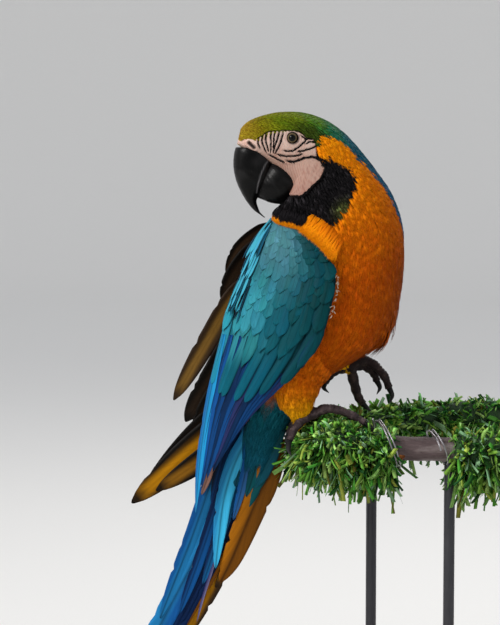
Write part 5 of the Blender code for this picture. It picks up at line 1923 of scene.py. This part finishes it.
# %% Claws, and the two feet
def claws(side):
    steps = np.linspace(0, 1, CLAW_STEPS)
    taper = np.interp(steps, [0, 0.5, 1], [CLAW_RADIUS, 2.3, 0.3])
    wear_and_sheen = np.append(np.repeat(np.linspace(0.05, 0.3, CLAW_STEPS), CLAW_SIDES), (0.05, 0.3))
    for number, path in enumerate(LEGS[side]["toes"], 1):
        claw = tube_grid(curve_through(path[-3:], steps), taper, CLAW_SIDES)
        obj = closed_mesh(f"talon_{side}_{number}", claw, CLAW_HORN)
        store(obj, "along", wear_and_sheen)
        settle(obj, "bill_horn", f"claw_{side}_{number}")


for side in LEGS:
    lines = [toe_path(side, toe) for toe in range(4)]
    scale_foot(foot_core(side, lines), side, lines)
    claws(side)

# %% [markdown]
# ## The perch
# The bird grips a bent branch dressed with a garland of cut green ribbon, as on a show
# perch. The branch is a tube whose bark is pushed out by waves of several sizes; the
# ribbon is thousands of thin blades that stand off the top and hang below. Blades that
# would cross the toes are left out, so the grip stays clear.

# %% Branch
BRANCH_PATH = [(172, -40, 446), (78, -42, 447), (18, -42, 450), (-24, -36, 455), (-46, -6, 456),
               (-38, 38, 453), (4, 84, 452), (68, 118, 455), (184, 142, 460)]
BRANCH_RADIUS = 12.5
BARK_STEPS, BARK_SIDES = 420, 96
line = curve_through(BRANCH_PATH, np.linspace(0, 1, BARK_STEPS))
BRANCH_FORM = Form(tube_grid(line, np.full(BARK_STEPS, BRANCH_RADIUS), BARK_SIDES))
t, a = np.meshgrid(np.linspace(0, 1, BARK_STEPS), np.arange(BARK_SIDES) / BARK_SIDES, indexing="ij")
round_a = np.cos(2 * np.pi * a) * 12
bark = 0.55 * ripple(t * 640, round_a, 22, 1.0) + 0.35 * ripple(t * 640, round_a + 9 * a, 7, 2.0)
bark += 0.22 * ripple(t * 640, a * 90, 2.4, 3.0) - 0.6
from_knot = np.linalg.norm(BRANCH_FORM.grid - (40, -54, 446), axis=-1)
bark += 1.6 * mound(t, 0.205, 0.009) * mound(from_knot, 0.0, 9.0)
bark -= 0.8 * (ease(t, 0.012, 0.0) + ease(t, 0.988, 1.0))
BARK = grained_material("bark", (88, 74, 74), (150, 138, 136), (44, 34, 34), 520.0, 60.0, 0.66, 0.9,
                        contrast=0.75, stretch=(0.22, 1.0, 1.0), Specular_IOR_Level=0.2)
branch = closed_mesh("bark_branch", BRANCH_FORM.grid + BRANCH_FORM.normal * bark[..., None], BARK)
settle(branch, "bark", "perch_branch")

# %% The scar of a cut twig
SCAR = grained_material("bark_scar", (116, 66, 30), (156, 98, 48), (50, 30, 18), 400.0, 160.0, 0.7, 0.6,
                        contrast=0.9, Specular_IOR_Level=0.1)
polar, spin = np.meshgrid(np.linspace(0.01, np.pi - 0.01, 20), np.arange(32) * 2 * np.pi / 32, indexing="ij")
scar = np.stack([np.sin(polar) * np.cos(spin), -np.cos(polar), np.sin(polar) * np.sin(spin)], -1)
scar = scar * (5.6, 3.6, 4.4) * (1 + 0.12 * ripple(scar[..., 0], scar[..., 2], 0.3, 2.0))[..., None]
settle(closed_mesh("bark_scar", scar + (37, -51.2, 441.5), SCAR), "bark")

# %% [markdown]
# ## The garland
# The green on the perch is cut ribbon tied in bunches. A lumpy core, painted dark as the
# shade deep in the bunch, stops daylight from showing through, and thousands of thin blades
# grow from it: short and lying on the top, longer and hanging below, each with its own curl,
# width and shade of green. Blades that face down are painted darker, as shade.

# %% Sizes and greens of the bunches
# Each bunch: its start and end along the branch, its thickness and its number of blades.
GARLANDS = {"garland_bend": (0.215, 0.56, 1.0, 3100), "garland_front": (0.02, 0.105, 1.1, 1050),
            "garland_rear": (0.575, 0.97, 1.0, 3600)}
LEAF_PAINTS = paints((128, 186, 72), (90, 156, 56), (168, 212, 112), (44, 96, 40), (150, 196, 146),
                     (178, 200, 84), (100, 160, 76), (124, 124, 50))
LEAF_SHARES = np.array((0.22, 0.22, 0.16, 0.14, 0.10, 0.08, 0.06, 0.02))
RIBBON_BLADE = sliver([0, 0.25, 0.5, 0.75, 1.0], [0.5, 0.5, 0.5, 0.5, 0.46], thick=0.12)
LEAF = feather_material("foliage_blade", barbs=14.0, slant=0.0, root=0.30, edge=0.15, spread=0.5, rough=0.40,
                        relief=0.10, contrast=0.6)
# The core's dark green is painted shade, deep inside the bunch.
SHADED_CORE = grained_material("foliage_core_shade", (30, 60, 24), (48, 90, 36), (14, 32, 12), 260.0, 60.0, 0.8, 1.2,
                        contrast=0.8)
TOES = np.vstack([toe_path(side, toe) for side in LEGS for toe in range(4)])


def clear_of_toes(points, gap):
    """Which blades keep off the toes; points are (blades, corners, 3)."""
    clear = np.ones(len(points), bool)
    for toe in TOES[::3]:
        clear &= (np.linalg.norm(points - toe, axis=-1) > gap).all(1)
    return clear


# %% Core of a bunch
CORE_STEPS, CORE_SIDES = 60, 48


def bunch_core(name, start, end, size):
    shares = np.linspace(0, 1, CORE_STEPS)
    axis = curve_through(BRANCH_PATH, np.linspace(start, end, CORE_STEPS)) - (0, 0, 3.0 * size)
    swell = 0.80 + 0.20 * np.sqrt(np.clip(np.sin(np.pi * shares), 0, 1))
    form = Form(tube_grid(axis, 17.5 * size * swell, CORE_SIDES))
    t, a = np.meshgrid(shares, np.arange(CORE_SIDES) / CORE_SIDES, indexing="ij")
    lumps = 1.6 * ripple(t * 200, np.cos(2 * np.pi * a) * 20, 7.0, 1.0)
    settle(closed_mesh(name + "_core", form.grid + form.normal * lumps[..., None], SHADED_CORE), "foliage", name)
    return form


# %% Blades of ribbon
for name, (start, end, size, count) in GARLANDS.items():
    core_form = bunch_core(name, start, end, size)
    a, t = chance.random(count), chance.random(count)
    root, out = core_form.at(a, t)
    stretch = unit(core_form.read(core_form.by_t, a, t))
    above = out[:, 2:3]
    wild = chance.normal(0, 1, (count, 3))
    lying = ease(above, 0.0, 0.8) * (0.35 if name == "garland_rear" else 1.0)
    heading = unit(out * (0.8 - 0.5 * lying) + stretch * wild[:, :1] * (0.7 + 0.4 * lying) + 0.75 * wild
                   + np.array((0, 0, -0.42)) * ease(above, 0.5, -0.4))
    long = (12 + 13 * ease(-above[:, 0], -0.4, 0.7)) * chance.uniform(0.6, 1.3, count) * (0.85 + 0.15 * size)
    wide = chance.uniform(2.2, 5.0, count)
    side = unit(np.cross(heading, unit(chance.normal(0, 1, (count, 3)))))
    face = np.cross(heading, side)
    curl = 0.7 * unit(chance.normal(0, 1, (count, 3))) * long[:, None]
    u, v, h = RIBBON_BLADE.points.T
    sag = chance.uniform(0.15, 0.9, count) * long * 0.32
    points = (root - out * 3.0)[:, None] + heading[:, None] * (u * long[:, None])[..., None]
    points = points + side[:, None] * (v * wide[:, None])[..., None] + face[:, None] * h[None, :, None]
    points = points + curl[:, None] * (u**2 - 0.4 * u)[None, :, None]
    points[..., 2] -= sag[:, None] * u**2
    keep = clear_of_toes(points, 6.8)
    pick = chance.choice(len(LEAF_PAINTS), count, p=LEAF_SHARES)
    # Painted shade and light: blades that face down are darker, those that face up lighter.
    shade = LEAF_PAINTS[pick] * (0.72 + 0.34 * ease(above, -0.9, 0.5))
    shade = shade * chance.uniform(0.75, 1.25, (count, 1))
    coat = Coat()
    coat.add(points[keep], RIBBON_BLADE, shade[keep].clip(0, 1), np.stack([a, t], -1)[keep])
    coat.make(name + "_blades", LEAF, "foliage")

# %% [markdown]
# ## Tie wires
# Two loose turns of steel wire hold the ribbon to the branch. A circle would look turned
# on a lathe, so each loop swells, leans and ends a little away from where it began.

# %% Loops of wire
WIRE = grained_material("tie_wire", (150, 146, 150), (190, 186, 188), (84, 78, 78), 900.0, 150.0, 0.34, 0.1,
                        contrast=0.6, Metallic=0.9)
WIRE_RADIUS, WIRE_STEPS = 0.9, 190
# Each tie: its place along the branch, reach from the middle, turns, and skew along the branch.
TIES = {"wire_front": (0.232, 23.5, 2.2, 13.0), "wire_end": (0.128, 17.0, 1.6, 9.0)}
for name, (share, reach, turns, skew) in TIES.items():
    here, ahead = curve_through(BRANCH_PATH, np.array((share, share + 0.02)))
    along = unit(ahead - here)
    beside = unit(np.cross(along, (0, 0, 1)))
    up = np.cross(beside, along)
    spin = np.linspace(-0.6, -0.6 + 2 * np.pi * turns, WIRE_STEPS)[:, None]
    loose = 1 + 0.45 * ease(spin, spin.max() - 1.1, spin.max() + 0.2) + 0.06 * np.sin(2.3 * spin)
    loop = here + (beside * np.cos(spin) + up * (np.sin(spin) + 0.12)) * reach * loose
    loop += along * (skew * np.sin(spin + 0.5) + 8.0 * spin / spin.max() - 4.0)
    tube = tube_grid(loop, np.full(WIRE_STEPS, WIRE_RADIUS), 12)
    settle(closed_mesh("twist_" + name, tube, WIRE), "tie_wire", name)

# %% [markdown]
# ## The stand
# The museum stand is plain: a satin black disc with an eased edge and two steel rods that
# run up into the branch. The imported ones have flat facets, so smooth ones replace them.

# %% Disc and rods
BASE_RADIUS, BASE_HEIGHT, ROD_RADIUS = 180.0, 16.0, 5.5
BOARD = grained_material("stand_board", (44, 43, 46), (58, 56, 58), (30, 29, 32), 240.0, 14.0, 0.46, 0.08,
                         stretch=(1.0, 6.0, 1.0))
STEEL = grained_material("stand_metal", (52, 52, 56), (72, 72, 76), (34, 34, 38), 500.0, 40.0, 0.34, 0.05,
                         stretch=(1.0, 1.0, 0.2), Metallic=0.6)


def turned(name, outline, material, columns=128, centre=(0.0, 0.0)):
    """A turned solid from an outline of radius and height, from the bottom up."""
    radius, height = np.array(outline, float).T
    spin = 2 * np.pi * np.arange(columns) / columns
    grid = np.stack([centre[0] + radius[:, None] * np.cos(spin), centre[1] + radius[:, None] * np.sin(spin),
                     np.repeat(height[:, None], columns, 1)], -1)
    obj = closed_mesh(name, grid, material)
    obj.data.set_sharp_from_angle(angle=math.radians(38))
    return obj


R, H = BASE_RADIUS, BASE_HEIGHT
foot_edge = [(R - 1.5, 0.0), (R, 1.5)]
eased_edge = [(R - 3 + 3 * math.cos(b), H - 3 + 3 * math.sin(b)) for b in np.linspace(0, math.pi / 2, 8)]
groove = [(R - 12, H), (R - 12.6, H - 0.8), (R - 13.4, H - 0.8), (R - 14, H)]
disc = turned("stand_disc", foot_edge + eased_edge + groove + [(60, H), (8, H)], BOARD)
settle(disc, "stand_board", "stand_base")
R = ROD_RADIUS
collar = [(R + 6.5, H - 0.5), (R + 6.5, H + 2.6), (R + 5.6, H + 3.6), (R + 0.1, H + 3.9), (R, H + 4.0)]
for name, share in (("stand_rod_front", 0.11), ("stand_rod_rear", 0.78)):
    x, y, z = curve_through(BRANCH_PATH, share)
    settle(turned(name + "_steel", collar + [(R, z - 6.0)], STEEL, 48, (x, y)), "stand_metal", name)

# %% [markdown]
# ## Floor and backdrop
# A product is shown on a seamless sweep: a pale floor that bends up all round into a wall,
# with no corner for a shadow line. Here it is a wide bowl, turned like the disc.

# %% Sweep
BOWL_SIDES = 96
SWEEP = grained_material("studio_sweep", (238, 237, 234), (242, 241, 238), (232, 231, 228), 300.0, 0.6, 0.85,
                         0.02, contrast=0.08)
bend = np.linspace(0, math.pi / 2, 24)
radius = np.concatenate([[0.02, 1.0, 3.0], 6.0 + 2.0 * np.sin(bend), [8.0]]) / MM
height = np.concatenate([[0.0, 0.0, 0.0], 2.0 - 2.0 * np.cos(bend), [2.3]]) / MM - 0.2
spin = 2 * np.pi * np.arange(BOWL_SIDES) / BOWL_SIDES
bowl = np.stack([radius[:, None] * np.cos(spin), radius[:, None] * np.sin(spin),
                 np.repeat(height[:, None], BOWL_SIDES, 1)], -1)
middle = bowl[0].mean(0)
faces = [grid_faces(len(radius), BOWL_SIDES, True)[:, ::-1], fan(0, BOWL_SIDES, len(radius) * BOWL_SIDES)]
new_mesh_object("studio_sweep", np.vstack([bowl.reshape(-1, 3), middle]), faces, SWEEP)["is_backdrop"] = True
print("floor across, m:", round(2 * radius.max() * MM, 1))

# %% [markdown]
# ## Light
# One big soft key stands at the upper left, a weak fill at the right, and a light behind
# lifts the outline from the backdrop. Big lights give soft shadows, in which the small
# relief of feathers still shows.


# %% Three soft lights and a pale sky
LIT_POINT = Vector((-0.05, 0.0, 0.55))


def soft_light(name, place, size, watts, colour=(1, 1, 1)):
    light = bpy.data.lights.new(name, "AREA")
    light.shape, light.size, light.energy, light.color = "DISK", size, watts, colour
    lamp = bpy.data.objects.new(name, light)
    lamp.location = place
    lamp.rotation_euler = (LIT_POINT - Vector(place)).to_track_quat("-Z", "Y").to_euler()
    bpy.context.scene.collection.objects.link(lamp)


soft_light("key", (-2.3, -1.9, 2.3), 1.4, 86, (1.0, 0.98, 0.95))
soft_light("fill", (2.4, -1.9, 1.0), 2.0, 4, (0.94, 0.97, 1.0))
soft_light("back", (0.8, 2.0, 2.2), 1.2, 22, (1.0, 0.98, 0.95))
world = bpy.data.worlds.new("studio_air")
world.use_nodes = True
sky = world.node_tree.nodes["Background"]
sky.inputs["Color"].default_value = (0.93, 0.95, 1.0, 1)
sky.inputs["Strength"].default_value = 0.60
bpy.context.scene.world = world
bpy.context.scene.view_settings.view_transform = "Standard"
print("lights, W:", {light.name: light.energy for light in bpy.data.lights})

# %% [markdown]
# ## Camera
# The camera stands well back with a long lens, so that the bird isn't distorted, and looks
# down by a few degrees. The frame's height at the bird is 0.625 m.

# %% Lens and place
ELEVATION = math.radians(6.0)
REACH = 2.6
FRAME_HEIGHT = 0.625
AIM = Vector((-0.110, 0.0, 0.5787))
lens = bpy.data.cameras.new("camera")
camera = bpy.data.objects.new("camera", lens)
bpy.context.scene.collection.objects.link(camera)
camera.location = AIM + REACH * Vector((0, -math.cos(ELEVATION), math.sin(ELEVATION)))
camera.rotation_euler = (math.pi / 2 - ELEVATION, 0, 0)
lens.sensor_fit, lens.sensor_height = "VERTICAL", 24.0
lens.lens = lens.sensor_height * REACH / FRAME_HEIGHT
lens.dof.use_dof = False
bpy.context.scene.camera = camera
print("lens, mm:", round(lens.lens, 1))

# %% The box round the scene
low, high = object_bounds()
